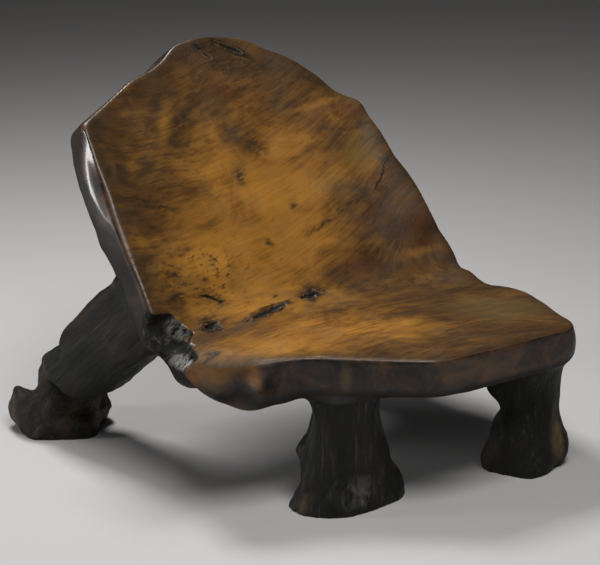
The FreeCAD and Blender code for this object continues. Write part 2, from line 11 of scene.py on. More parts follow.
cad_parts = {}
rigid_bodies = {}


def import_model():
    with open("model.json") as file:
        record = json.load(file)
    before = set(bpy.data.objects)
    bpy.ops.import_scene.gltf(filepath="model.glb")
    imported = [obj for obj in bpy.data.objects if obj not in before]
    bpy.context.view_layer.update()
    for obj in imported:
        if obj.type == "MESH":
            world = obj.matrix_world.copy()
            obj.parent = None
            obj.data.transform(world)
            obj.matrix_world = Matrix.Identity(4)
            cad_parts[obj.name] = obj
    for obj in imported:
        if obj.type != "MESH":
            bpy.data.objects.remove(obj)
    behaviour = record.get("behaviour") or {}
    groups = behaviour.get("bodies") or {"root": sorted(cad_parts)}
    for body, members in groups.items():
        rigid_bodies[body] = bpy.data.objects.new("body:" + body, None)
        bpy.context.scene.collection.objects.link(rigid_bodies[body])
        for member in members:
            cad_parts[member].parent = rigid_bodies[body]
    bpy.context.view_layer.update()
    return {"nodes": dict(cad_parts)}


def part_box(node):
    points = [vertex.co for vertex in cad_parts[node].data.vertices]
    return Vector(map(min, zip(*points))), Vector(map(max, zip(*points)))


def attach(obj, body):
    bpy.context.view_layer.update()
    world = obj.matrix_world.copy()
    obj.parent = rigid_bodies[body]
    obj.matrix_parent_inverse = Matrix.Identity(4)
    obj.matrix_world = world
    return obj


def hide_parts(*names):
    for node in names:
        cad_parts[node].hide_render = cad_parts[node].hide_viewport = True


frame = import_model()

bl_info = {
    "name": "Carved slab chair",
    "version": (1, 0, 0),
    "blender": (4, 5, 0),
    "location": "3D View > Sidebar > Chair",
    "description": "Builds the timbers, finishes and stage of a low chair carved from a trunk",
    "category": "Object",
}


def colour(name, description, value):
    """Property for one colour."""
    return bpy.props.FloatVectorProperty(
        name=name, description=description, default=value, size=3, min=0, max=1, subtype="COLOR"
    )


def length(name, description, value):
    """Property for one length."""
    return bpy.props.FloatProperty(
        name=name, description=description, default=value, min=0, unit="LENGTH", precision=4
    )


class ChairSizes(bpy.types.PropertyGroup):
    """Sizes of the carving, in metres"""

    carving_step: length("Carving step", "Distance between the points of the carved surface", 0.0033)
    cove_reach: length("Cove reach", "How far the cove at the fold runs out on the seat and the back", 0.048)
    edge_belly: length("Edge belly", "How far the back's right edge swells out", 0.012)
    waviness: length("Waviness", "Broad waves left by the adze all over", 0.006)
    face_ripple: length("Face ripple", "Ripple of the rubbed faces", 0.0025)
    hewn_depth: length("Hewn depth", "Tool marks on the walls, the rear and the underside", 0.003)
    break_depth: length("Break depth", "Splinters in the broken corner", 0.006)
    lump_depth: length("Lump depth", "Lumps and hollows of the legs", 0.007)
    fibre_depth: length("Fibre depth", "Ridges along the legs", 0.0028)
    chip_depth: length("Chip depth", "Broken chips at the feet", 0.009)


class ChairColours(bpy.types.PropertyGroup):
    """Colours of the finishes"""

    # Honey also paints the pale rims of the splits and voids, a painted highlight.
    honey: colour("Honey", "Palest wood of the rubbed faces", (0.430, 0.195, 0.030))
    ochre: colour("Ochre", "Main wood of the rubbed faces", (0.290, 0.125, 0.019))
    # Brown also tints the band along the arrises: a worn edge, and partly a painted highlight.
    brown: colour("Brown", "Darker figure of the rubbed faces", (0.150, 0.062, 0.013))
    # Shade also darkens the faces outside the rubbed patches: old patina, and partly painted shade towards
    # the top.
    shade: colour("Shade", "Old dark patina of the faces' rims", (0.052, 0.026, 0.010))
    russet: colour("Russet", "Red brown marks", (0.092, 0.031, 0.011))
    umber: colour("Umber", "Dark smudges and streaks", (0.026, 0.017, 0.009))
    olive: colour("Olive", "Grey green patches", (0.160, 0.110, 0.034))
    pitch: colour("Pitch", "Splits, pits and the oldest polish", (0.008, 0.007, 0.006))
    wall: colour("Wall", "Dark polished edges", (0.030, 0.019, 0.012))
    wall_red: colour("Wall red", "Red brown patches of the edges", (0.085, 0.036, 0.015))
    wall_brown: colour("Wall brown", "Olive brown patches of the edges", (0.085, 0.052, 0.018))
    wall_orange: colour("Wall orange", "Warm rubbed patches of the edges", (0.190, 0.075, 0.018))
    # Root also paints the hewn undersides and downward faces of the slabs near black, partly as painted
    # shade.
    root: colour("Root", "Blackened legs", (0.0080, 0.0078, 0.0068))
    root_brown: colour("Root brown", "Brown wood that shows through on the legs", (0.036, 0.022, 0.012))
    root_grey: colour("Root grey", "Dry grey fibres and chips on the legs", (0.080, 0.076, 0.066))
    root_tan: colour("Root tan", "Worn tan wood at the feet", (0.130, 0.085, 0.040))
    torn: colour("Torn", "Dry facets of the broken corner", (0.240, 0.235, 0.215))
    peg: colour("Peg", "Pegs, tenons and wedges", (0.200, 0.095, 0.030))
    floor: colour("Floor", "Pale studio floor", (0.560, 0.545, 0.540))


# The upright axis that the back is hollowed about, the fold and the lean, as in the part
AXIS = (0.05173, -1.01825)
FOLD_RADIUS = 1.0
SEAT_TOP = 0.25
SEAT_UNDER = 0.184
THICKNESS = 0.066
LEAN = math.radians(34)
MITRE_RUN = 0.0351

# Arcs about the axis, for the cove and for the cut along the mitre: first angle and sweep in degrees, steps
COVE_ARC = (18.2, 32.4, 46)
MITRE_ARC = (50, 100, 60)
# The cove's filler: how far it is buried in the slabs, and the steps of its curve
COVE_BURIED = 0.02
COVE_STEPS = 8
# The cut along the mitre: radius of its inside, and its lowest and highest edge
MITRE_INSIDE = 0.4
MITRE_LOW = 0.04
MITRE_HIGH = 0.42
# Cuts at the tops of the legs: gap to the slab, cone under the seat and its reach below the floor
CUT_GAP = 0.002
FRONT_CUT_RADII = (0.185, 0.125)
BELOW_FLOOR = 0.1
# Block behind the back: how far up the back, splay for each leg in degrees, and size
REAR_CUT_RISE = 0.073
REAR_SPLAYS = (13.9, -9.5)
REAR_CUT_SIZE = (0.26, 0.75, 0.6)
# Way that the rear legs' fibres run, before the splay
REAR_GRAIN = (0, -0.75, 0.66)
# Depth under the face where the hewn surface begins and is full
HEWN_FROM = 0.045
HEWN_FULL = 0.060
# Steps between no weight and full weight of a vertex
WEIGHT_STEPS = 20
# Angle in degrees beyond which an edge stays sharp
SHARP_ANGLE = 42

# Lumps that fill the rear ankles behind the rims: what, where and half sizes
ANKLES = (
    ("right ankle", (-0.260, 0.262, 0.104), (0.046, 0.056, 0.050)),
    ("left ankle", (0.270, 0.284, 0.104), (0.054, 0.056, 0.050)),
)
# Pulls on the rough form, in metres: what is pulled, where, how far and over what reach
OUTLINE_PULLS = (
    ("belly of the back's left edge", (0.296, 0.037, 0.365), (0.0135, -0.0070, 0.0070), 0.14),
    ("crown", (0.002, 0.253, 0.643), (0.0010, 0.0016, 0.0065), 0.08),
    ("run left of the crown", (0.160, 0.216, 0.598), (0.0023, 0.0002, 0.0050), 0.06),
    ("hollow run right of the crown", (-0.110, 0.230, 0.623), (0.0030, -0.0040, -0.0060), 0.07),
    ("dip before the left shoulder", (0.242, 0.172, 0.548), (-0.0040, 0.0004, -0.0067), 0.05),
    ("belly of the back's right edge", (-0.292, 0.087, 0.373), (-0.0060, 0.0040, -0.0008), 0.06),
    ("sweep into the seat at the left", (0.327, -0.076, 0.249), (0.0050, 0.0016, 0.0148), 0.06),
    ("front left corner of the seat", (0.297, -0.362, 0.213), (0.0065, -0.0047, 0.0000), 0.05),
    ("nose, right", (-0.241, -0.083, 0.185), (-0.0110, 0.0020, -0.0090), 0.06),
    ("nose, flank", (-0.285, -0.140, 0.215), (-0.0120, 0.0000, 0.0000), 0.05),
    ("nose, middle", (-0.240, -0.170, 0.180), (0.0000, -0.0040, 0.0020), 0.06),
    ("nose, left", (-0.185, -0.218, 0.185), (0.0000, -0.0060, -0.0090), 0.06),
    ("nose, lower bulge", (-0.262, -0.185, 0.200), (-0.0110, -0.0160, 0.0070), 0.050),
    ("nose, lower left bulge", (-0.215, -0.220, 0.195), (-0.0050, -0.0080, 0.0035), 0.045),
    ("under the broken corner", (-0.260, -0.034, 0.202), (0.0080, -0.0040, 0.0070), 0.03),
    ("left shoulder, under", (0.279, 0.110, 0.468), (0.0055, -0.0025, 0.0042), 0.05),
    ("foot of the back's left edge", (0.326, -0.026, 0.290), (0.0048, -0.0022, 0.0033), 0.04),
    ("seat's left rear corner", (0.337, -0.106, 0.258), (-0.0026, -0.0006, -0.0065), 0.035),
    ("back's right edge, hollow", (-0.306, 0.118, 0.420), (0.0065, -0.0035, 0.0025), 0.08),
    ("nose, underneath", (-0.262, -0.195, 0.180), (0.0010, 0.0013, 0.0050), 0.040),
)
FRONT_LEG_PULLS = (
    ("left ankle, inside", (0.223, -0.258, 0.090), (0.0160, -0.0140, -0.0030), 0.045),
    ("left hoof, inside", (0.212, -0.253, 0.053), (0.0120, -0.0100, -0.0030), 0.040),
    ("left hip, outside", (0.297, -0.327, 0.134), (0.0083, -0.0078, -0.0047), 0.050),
    ("left hoof, outside", (0.312, -0.340, 0.028), (0.0050, -0.0050, 0.0000), 0.040),
    ("left hip, inside", (0.217, -0.283, 0.140), (-0.0140, 0.0090, 0.0000), 0.035),
    ("left neck, inside", (0.200, -0.283, 0.070), (0.0060, -0.0050, 0.0000), 0.030),
    ("left toe", (0.240, -0.347, 0.002), (-0.0090, -0.0130, 0.0000), 0.050),
    ("left foot, inside", (0.197, -0.297, 0.004), (-0.0070, 0.0030, 0.0000), 0.035),
    ("right hip, outside", (-0.124, -0.216, 0.155), (0.0100, -0.0072, 0.0000), 0.050),
    ("right shin", (-0.123, -0.214, 0.117), (0.0060, -0.0045, 0.0000), 0.030),
    ("right burr", (-0.123, -0.212, 0.090), (-0.0080, 0.0050, 0.0000), 0.020),
    ("right shin under the burr", (-0.136, -0.214, 0.046), (0.0073, -0.0058, -0.0015), 0.030),
    ("right heel", (0.010, -0.285, 0.006), (0.0110, -0.0080, 0.0000), 0.050),
    ("right calf", (0.006, -0.275, 0.035), (0.0070, -0.0044, 0.0045), 0.040),
    ("right hip, inside", (-0.021, -0.285, 0.151), (-0.0054, 0.0056, 0.0044), 0.040),
    ("right foot, outside", (-0.130, -0.200, 0.025), (0.0060, -0.0060, 0.0000), 0.035),
    ("right calf, upper", (-0.009, -0.276, 0.084), (0.0050, -0.0037, 0.0000), 0.030),
)
REAR_LEG_PULLS = (
    ("right shank, above", (-0.273, 0.178, 0.228), (-0.0085, 0.0095, 0.0095), 0.12),
    ("right rim, outside", (-0.303, 0.256, 0.130), (-0.0100, 0.0100, 0.0080), 0.05),
    ("right rim, behind", (-0.297, 0.306, 0.092), (-0.0035, 0.0069, 0.0115), 0.03),
    ("notch over the right root", (-0.311, 0.318, 0.080), (0.0030, -0.0060, -0.0120), 0.03),
    ("right root", (-0.358, 0.331, 0.046), (0.0110, -0.0080, 0.0000), 0.04),
    ("right foot, inside", (-0.199, 0.271, 0.026), (0.0098, -0.0071, 0.0000), 0.04),
    ("right foot, front", (-0.260, 0.230, 0.004), (0.0016, -0.0160, 0.0000), 0.05),
    ("right ankle", (-0.231, 0.174, 0.082), (-0.0021, 0.0057, 0.0110), 0.04),
    ("right shank, below", (-0.207, 0.070, 0.160), (-0.0030, 0.0060, 0.0120), 0.06),
    ("fall of the right root", (-0.312, 0.318, 0.078), (0.0040, -0.0070, -0.0115), 0.03),
    ("right root, tip", (-0.344, 0.331, 0.028), (-0.0056, 0.0040, 0.0000), 0.03),
    ("notch under the right rim", (-0.316, 0.306, 0.080), (0.0045, -0.0065, -0.0110), 0.035),
    ("end of the right rim", (-0.314, 0.288, 0.138), (0.0030, -0.0050, -0.0080), 0.030),
    ("notch behind the right rim", (-0.298, 0.340, 0.067), (0.0015, -0.0040, -0.0085), 0.030),
    ("right shank, underneath", (-0.209, 0.127, 0.121), (-0.0045, 0.0050, 0.0050), 0.050),
    ("right shank, under the fold", (-0.226, 0.041, 0.183), (0.0040, 0.0000, 0.0077), 0.03),
    ("left shank, above", (0.330, 0.190, 0.220), (0.0060, 0.0080, 0.0090), 0.10),
    ("left rim", (0.336, 0.280, 0.110), (0.0080, 0.0060, 0.0070), 0.05),
    ("left ankle", (0.240, 0.200, 0.080), (0.0030, 0.0060, 0.0100), 0.05),
)

# Marks on the rubbed faces: name, stain, side and run of the centre, half length, half width, turn in degrees
MARKS = (
    ("long split at the crown", "pitch", -0.002, 0.459, 0.041, 0.0053, -28),
    ("short split at the crown", "pitch", -0.054, 0.452, 0.027, 0.0034, -45),
    ("shade beside the splits", "umber", -0.072, 0.469, 0.034, 0.0140, -20),
    ("crown shade", "umber", -0.030, 0.462, 0.085, 0.0230, -14),
    ("dusk under the crown", "umber", 0.010, 0.428, 0.105, 0.0160, -8),
    ("shoulder patch", "umber", -0.326, 0.338, 0.036, 0.0100, 85),
    ("flame", "umber", -0.147, 0.342, 0.058, 0.0125, 42),
    ("flame tail", "umber", -0.178, 0.314, 0.026, 0.0075, 48),
    ("pale stroke by the flame", "honey", -0.180, 0.348, 0.045, 0.0120, 60),
    ("shoulder shade", "umber", -0.318, 0.362, 0.030, 0.0130, 81),
    ("shoulder smudge", "umber", -0.300, 0.296, 0.050, 0.0130, 80),
    ("shoulder dot", "umber", -0.328, 0.289, 0.010, 0.0080, -53),
    ("left streak, upper", "umber", -0.280, 0.228, 0.060, 0.0034, -18),
    ("left streak, middle", "umber", -0.262, 0.212, 0.073, 0.0037, -15),
    ("left streak, lower", "umber", -0.309, 0.213, 0.021, 0.0057, -8),
    ("left dot", "umber", -0.276, 0.184, 0.010, 0.0037, -18),
    ("streak under the crown", "umber", 0.052, 0.419, 0.043, 0.0036, -17),
    ("streak under the crown, right", "umber", 0.128, 0.384, 0.035, 0.0041, -25),
    ("crown rust", "russet", -0.042, 0.381, 0.042, 0.0138, -23),
    ("rust wedge", "russet", 0.169, 0.321, 0.056, 0.0146, 3),
    ("pale ridge over the wedge", "honey", 0.122, 0.337, 0.070, 0.0060, 9),
    ("line under the wedge", "umber", 0.192, 0.289, 0.038, 0.0043, 9),
    ("grey green patch", "olive", 0.175, 0.242, 0.048, 0.0248, 38),
    ("crack, outer", "pitch", 0.201, 0.199, 0.047, 0.0015, 50),
    ("crack, inner", "russet", 0.190, 0.198, 0.048, 0.0023, 50),
    ("shade by the crack", "umber", 0.217, 0.224, 0.018, 0.0077, -12),
    ("grain shade", "umber", 0.111, 0.145, 0.061, 0.0067, 25),
    ("grain shade, lower", "umber", 0.051, 0.121, 0.046, 0.0050, 14),
    ("right rust", "russet", 0.247, 0.092, 0.052, 0.0315, -83),
    ("right rust core", "umber", 0.256, 0.088, 0.027, 0.0106, 6),
    ("pale ridge low right", "honey", 0.216, 0.049, 0.061, 0.0090, 6),
    ("dark spot low right", "umber", 0.261, 0.025, 0.017, 0.0111, -6),
    ("low brown", "russet", 0.102, 0.038, 0.045, 0.0190, 3),
    ("low brown core", "umber", 0.054, 0.002, 0.023, 0.0171, 4),
    ("knot", "umber", -0.265, 0.100, 0.019, 0.0162, 65),
    ("left foot shade", "umber", -0.277, 0.064, 0.026, 0.0115, -18),
    ("fold cracks, right", "pitch", -0.211, 0.044, 0.026, 0.0028, -25),
    ("fold shade, right", "umber", -0.211, 0.045, 0.043, 0.0108, -32),
    ("fold void", "pitch", -0.123, -0.016, 0.064, 0.0090, 9),
    ("fold hole", "pitch", -0.239, -0.006, 0.022, 0.0144, -24),
    ("fold hole shade", "umber", -0.230, 0.003, 0.047, 0.0215, 1),
    ("fold knot", "pitch", -0.018, -0.000, 0.032, 0.0128, 11),
    ("fold knot shade", "umber", -0.015, 0.004, 0.045, 0.0207, 5),
    ("fleck", "umber", -0.084, 0.018, 0.010, 0.0054, 45),
    ("fleck, high", "umber", 0.124, 0.010, 0.015, 0.0033, 21),
    ("fold line left", "umber", 0.212, -0.083, 0.037, 0.0105, 4),
    ("seat shade left", "olive", 0.206, -0.189, 0.078, 0.0569, -7),
    ("seat streak", "honey", -0.024, -0.230, 0.058, 0.0077, -39),
    ("seat glow", "honey", -0.218, -0.112, 0.059, 0.0301, -14),
    ("seat fleck", "umber", -0.147, 0.086, 0.012, 0.0050, 24),
    ("scratch 1", "umber", -0.179, 0.105, 0.019, 0.0024, -51),
    ("mid fleck 1", "umber", 0.016, 0.160, 0.015, 0.0084, -73),
    ("mid fleck 2", "umber", -0.058, 0.109, 0.014, 0.0058, -33),
    ("mid shade", "umber", -0.015, 0.275, 0.030, 0.0149, -58),
    ("mid shade 2", "umber", -0.070, 0.229, 0.023, 0.0125, -87),
    ("mid honey", "honey", 0.041, 0.194, 0.089, 0.0238, 13),
    ("mid honey 2", "honey", -0.106, 0.120, 0.113, 0.0238, -5),
    ("low honey", "honey", -0.089, 0.059, 0.079, 0.0199, 7),
)
# Where the corner at the fold's right end is broken out: what, where, half sizes and turn in degrees
BREAKS = (
    ("upper break", (-0.272, -0.068, 0.268), (0.049, 0.042, 0.039), (20, 35, 10)),
    ("lower break", (-0.292, -0.118, 0.244), (0.043, 0.042, 0.030), (-15, 10, 50)),
)
BROKEN_SPOT = (-0.265, -0.082, 0.256)
# How far round the broken spot the finish is torn, the wall is spared and the wood is splintered
TORN_REACH = 0.072
SPARED_REACH = 0.060
SPLINTER_REACH = 0.045
NOSE = (-0.262, -0.188, 0.212)
NOSE_REACH = 0.085
# Places smoothed before and after the pulls: what, where, reach, factor and rounds
EARLY_EASES = (
    ("nose", (-0.250, -0.185, 0.220), 0.078, 0.8, 130),
    *((what, spot, 0.085, 0.5, 16) for what, spot, _ in ANKLES),
)
LATE_EASES = (
    ("left end of the fold", (0.322, -0.062, 0.262), 0.070, 0.5, 70),
    ("nose", NOSE, 0.055, 0.5, 60),
    ("end of the right rim", (-0.314, 0.288, 0.136), 0.045, 0.5, 60),
)
# Splits and voids: half width where they begin to be deep and are at full depth, and the depth
PIT_LEAST = 0.003
PIT_FULL = 0.010
PIT_DEPTH = 0.007
# Dry facets of the broken corner: centre and half sizes
FACETS = (
    ((-0.243, -0.048, 0.262), (0.024, 0.026, 0.022)),
    ((-0.268, -0.098, 0.225), (0.024, 0.032, 0.016)),
)
# Splinters on the seat beside the broken corner: centre, half sizes and turn in degrees, and slant in radians
SPLINTERS = ((-0.252, -0.156, 0.248), (0.034, 0.014, 0.014), 18)
SPLINTER_SLANT = 0.54
# Where the nose is rubbed dull: centre and half sizes
DULL_NOSE = ((-0.258, -0.188, 0.226), (0.080, 0.075, 0.060))
# Patches on the legs: name, colour, centre, half sizes and strength
LEG_MARKS = (
    ("chip of the right front foot", "torn", (-0.088, -0.300, 0.034), (0.046, 0.046, 0.034), 0.35),
    ("worn side of the left front foot", "root_tan", (0.287, -0.350, 0.050), (0.026, 0.036, 0.055), 0.8),
    ("worn edge of the right front foot", "root_tan", (-0.152, -0.250, 0.024), (0.018, 0.026, 0.055), 0.6),
    ("brown knob of the right rear foot", "root_tan", (-0.345, 0.325, 0.040), (0.040, 0.040, 0.050), 0.6),
    ("brown right rear foot", "root_tan", (-0.265, 0.225, 0.045), (0.090, 0.070, 0.050), 0.35),
)
# Chip of the right front foot: centre, reach and depth
CHIP = (-0.090, -0.302, 0.036)
CHIP_REACH = 0.030
CHIP_SINK = 0.012
# Patches on the walls: name, colour, centre, half sizes and strength
WALL_MARKS = (
    ("nose glow", "wall_orange", (-0.288, -0.160, 0.228), (0.032, 0.036, 0.026), 1.0),
    ("nose brown", "wall_brown", (-0.262, -0.185, 0.230), (0.046, 0.046, 0.036), 0.9),
    ("nose ridge", "wall_orange", (-0.219, -0.222, 0.222), (0.016, 0.024, 0.040), 0.75),
    ("rust at the right shoulder", "wall_red", (-0.300, 0.190, 0.560), (0.060, 0.060, 0.070), 0.9),
    ("rust under the right wall", "wall_red", (-0.300, 0.030, 0.330), (0.040, 0.050, 0.060), 0.7),
    ("brown band on the front", "wall_brown", (-0.097, -0.289, 0.220), (0.010, 0.030, 0.050), 0.9),
    ("brown left front", "wall_brown", (0.080, -0.370, 0.225), (0.120, 0.060, 0.024), 0.6),
)
# Where sitters have rubbed the patina off; the faces outside stay darker, partly as patina and partly as
# painted shade towards the top: slab, side and run of the centre, half sizes, turn in degrees
WORN = (
    ("back", -0.060, 0.140, 0.35, 0.235, 38),
    ("seat", -0.110, -0.140, 0.27, 0.125, -25),
)
# Where the back is flecked with small cracks: side and run, half length, half width, turn in degrees
FLECKED = (-0.215, 0.085, 0.17, 0.075, -12)
# How strongly each stain covers, and where its full core begins
STAINS = (
    ("honey", 0.40, 0.05),
    ("olive", 0.50, 0.2),
    ("russet", 0.85, 0.2),
    ("umber", 0.90, 0.15),
    ("pitch", 1.00, 0.55),
)
# Stains that are broken up by specks
SPECKLED = ("umber", "russet")
# How much longer and wider than its table a stain spreads, and how deep it goes
STAIN_SPREAD = (1.3, 1.7)
STAIN_DEPTH = 0.03

# Stage: lamps by name, place, target, size and power, then the room's light, the floor and the camera
LAMPS = (
    ("top", (-0.1, 1.0, 2.4), (0, 0, 0.2), (0.7, 0.7), 40),
    ("front", (-0.4, -1.3, 2.6), (0, 0, 0.3), (1.2, 1.2), 48),
    ("strip", (-2.22, 1.17, 0.70), (-0.3, 0.11, 0.5), (0.35, 0.75), 16),
)
ROOM_TINT = (1, 0.98, 0.96, 1)
ROOM_STRENGTH = 0.035
FLOOR_SIZE = 60
FLOOR_DUST = (0.4, 0.4, 0.4)
CAMERA_SPOT = (-1.722, -2.407, 1.186)
CAMERA_TARGET = (0.07673, 0.06875, 0.25)
CAMERA_LENS = 112.94
SENSOR_WIDTH = 36

SLABS = ("seat_slab", "back_slab")
FRONT_LEGS = ("front_right_leg", "front_left_leg")
REAR_LEGS = ("rear_right_leg", "rear_left_leg")


# Selecting, editing and applying

def only(piece):
    """Leaves one object selected and active."""
    bpy.ops.object.select_all(action="DESELECT")
    piece.select_set(True)
    bpy.context.view_layer.objects.active = piece


def finish_with(piece, kind, **settings):
    """Adds a modifier and applies it."""
    only(piece)
    modifier = piece.modifiers.new(kind.title(), kind)
    for name, value in settings.items():
        setattr(modifier, name, value)
    bpy.ops.object.modifier_apply(modifier=modifier.name)


def places(piece):
    """Every vertex's place, one row each."""
    spots = np.empty(len(piece.data.vertices) * 3, np.float32)
    piece.data.vertices.foreach_get("co", spots)
    return spots.reshape(-1, 3)


def smooth_step(low, high, amount):
    """Rises from 0 at low to 1 at high."""
    t = np.clip((amount - low) / (high - low), 0, 1)
    return t * t * (3 - 2 * t)


def slab_places(spots):
    """Side, run from the fold (up the back or, below zero, ahead on the seat) and depth under the face."""
    side = spots[:, 0] - AXIS[0]
    behind = np.hypot(side, spots[:, 1] - AXIS[1]) - FOLD_RADIUS
    above = spots[:, 2] - SEAT_TOP
    rise = behind * math.sin(LEAN) + above * math.cos(LEAN)
    back_depth = behind * math.cos(LEAN) - above * math.sin(LEAN)
    on_seat = behind * THICKNESS + above * MITRE_RUN < 0
    run = np.where(on_seat, behind, rise)
    depth = np.where(on_seat, -above, back_depth)
    return side, run, depth, on_seat


def finish_where(piece, weights, kind, **settings):
    """Adds a modifier that is weighted for each vertex, and applies it."""
    group = piece.vertex_groups.new(name="where")
    name = group.name
    levels = np.clip(np.round(weights * WEIGHT_STEPS), 0, WEIGHT_STEPS).astype(int)
    for level in range(1, WEIGHT_STEPS + 1):
        rows = np.nonzero(levels == level)[0]
        if len(rows):
            group.add(rows.tolist(), level / WEIGHT_STEPS, "REPLACE")
    finish_with(piece, kind, vertex_group=name, **settings)
    piece.vertex_groups.remove(piece.vertex_groups[name])


def pick(piece, wanted):
    """Opens a piece for editing with only the wanted vertices selected."""
    only(piece)
    piece.data.polygons.foreach_set("select", np.zeros(len(piece.data.polygons), bool))
    piece.data.edges.foreach_set("select", np.zeros(len(piece.data.edges), bool))
    piece.data.vertices.foreach_set("select", wanted)
    bpy.ops.object.mode_set(mode="EDIT")
    bpy.ops.mesh.select_mode(type="VERT")


def soft_move(piece, wanted, move, reach):
    """Moves the wanted vertices and, fading out over a reach, what is round them."""
    if not wanted.any():
        raise RuntimeError("nothing to move there")
    pick(piece, wanted)
    bpy.ops.transform.translate(
        value=move,
        use_proportional_edit=True,
        proportional_edit_falloff="SMOOTH",
        proportional_size=reach,
        use_proportional_connected=False,
    )
    bpy.ops.object.mode_set(mode="OBJECT")


def near(piece, spot, size=0.006):
    """The vertices near a spot, at least the nearest one."""
    away = np.linalg.norm(places(piece) - np.array(spot, np.float32), axis=1)
    return away <= max(size, away.min() + 1e-6)


def roughen(piece, weights, size, strength, detail, stretch=(1, 1, 1), turn=(0, 0, 0)):
    """Displaces a piece by cloudy noise, stretched along its grain."""
    texture = bpy.data.textures.new("rough", "CLOUDS")
    texture.noise_depth = detail
    texture.noise_scale = size
    bpy.ops.object.empty_add()
    grain = bpy.context.object
    grain.rotation_euler = turn
    grain.scale = stretch
    bpy.context.view_layer.update()
    finish_where(
        piece, weights, "DISPLACE", texture=texture, texture_coords="OBJECT", texture_coords_object=grain,
        strength=strength, mid_level=0.5,
    )
    bpy.data.objects.remove(grain)
    bpy.data.textures.remove(texture)


def ease(piece, weights, factor, rounds):
    """Smooths a piece where it is weighted."""
    finish_where(piece, weights, "SMOOTH", factor=factor, iterations=rounds)


def ease_spots(piece, table):
    """Smooths a piece round each spot of a table."""
    for _, spot, reach, factor, rounds in table:
        ease(piece, round_spot(places(piece), spot, reach), factor, rounds)


def shift(piece, amounts, most):
    """Moves a piece sideways by an amount for every vertex."""
    for way in (1, -1):
        weights = np.clip(way * amounts / most, 0, 1)
        finish_where(piece, weights, "DISPLACE", direction="X", strength=way * most, mid_level=0)


def sink(piece, weights, depth):
    """Presses a piece in where it is weighted."""
    finish_where(piece, weights, "DISPLACE", strength=-depth, mid_level=0)


def round_spot(spots, spot, reach):
    """1 at a spot, falling to 0 beyond a reach."""
    return np.exp(-(np.linalg.norm(spots - np.array(spot, np.float32), axis=1) / reach) ** 4)


def pits(spots):
    """How deep each point lies in the splits and voids of the faces, 0 to 1, with ragged rims."""
    side, run, depth, _ = slab_places(spots)
    ragged = 0.25 * np.sin(side * 310 + 2 * np.sin(run * 140)) + 0.2 * np.sin(run * 420 + side * 170)
    deepest = np.zeros(len(spots))
    for _, kind, centre, height, half_length, half_width, turn in MARKS:
        if kind == "pitch" and half_width > PIT_LEAST:
            angle = math.radians(turn)
            along = (side - centre) * math.cos(angle) + (run - height) * math.sin(angle)
            across = (run - height) * math.cos(angle) - (side - centre) * math.sin(angle)
            away = np.hypot(along / half_length, across / half_width) * (1.3 + ragged)
            deepest = np.maximum(deepest, smooth_step(1.1, 0.3, away) * min(1, half_width / PIT_FULL))
    return deepest * smooth_step(0.03, 0.015, depth)


def edit_all(mesh_edit):
    """Runs an edit on all of the active mesh."""
    bpy.ops.object.mode_set(mode="EDIT")
    bpy.ops.mesh.select_all(action="SELECT")
    mesh_edit()
    bpy.ops.object.mode_set(mode="OBJECT")


def spun(name, corners, first, sweep, steps):
    """Closed ring sector: a profile of radius and height corners spun about the chair's axis."""
    mesh = bpy.data.meshes.new(name)
    start = Matrix.Rotation(math.radians(first), 3, "Z")
    centre = (*AXIS, 0)
    points = [start @ Vector((0, radius, height)) + Vector(centre) for radius, height in corners]
    mesh.from_pydata(points, [], [tuple(range(len(points)))])
    ring = bpy.data.objects.new(name, mesh)
    bpy.context.scene.collection.objects.link(ring)
    only(ring)

    def turn():
        bpy.ops.mesh.spin(steps=steps, angle=math.radians(sweep), center=centre, axis=(0, 0, 1))
        bpy.ops.mesh.select_all(action="SELECT")
        bpy.ops.mesh.remove_doubles(threshold=1e-5)
        bpy.ops.mesh.normals_make_consistent(inside=False)

    edit_all(turn)
    return ring


def split_off(log, cutter, name):
    """Takes what lies in the cutter off the log, as a new piece."""
    piece = log.copy()
    piece.data = log.data.copy()
    piece.name = name
    bpy.context.scene.collection.objects.link(piece)
    finish_with(piece, "BOOLEAN", object=cutter, operation="INTERSECT", solver="MANIFOLD")
    finish_with(log, "BOOLEAN", object=cutter, operation="DIFFERENCE", solver="MANIFOLD")
    bpy.data.objects.remove(cutter)
    return piece


def note(piece, name, kind, values):
    """Point attribute that the finishes read."""
    attribute = piece.data.attributes.new(name, kind, "POINT")
    field = "vector" if kind == "FLOAT_VECTOR" else "value"
    attribute.data.foreach_set(field, np.ascontiguousarray(values, np.float32).ravel())


def normals(piece):
    """Every vertex's normal, one row each."""
    facing = np.empty(len(piece.data.vertices) * 3, np.float32)
    piece.data.vertices.foreach_get("normal", facing)
    return facing.reshape(-1, 3)


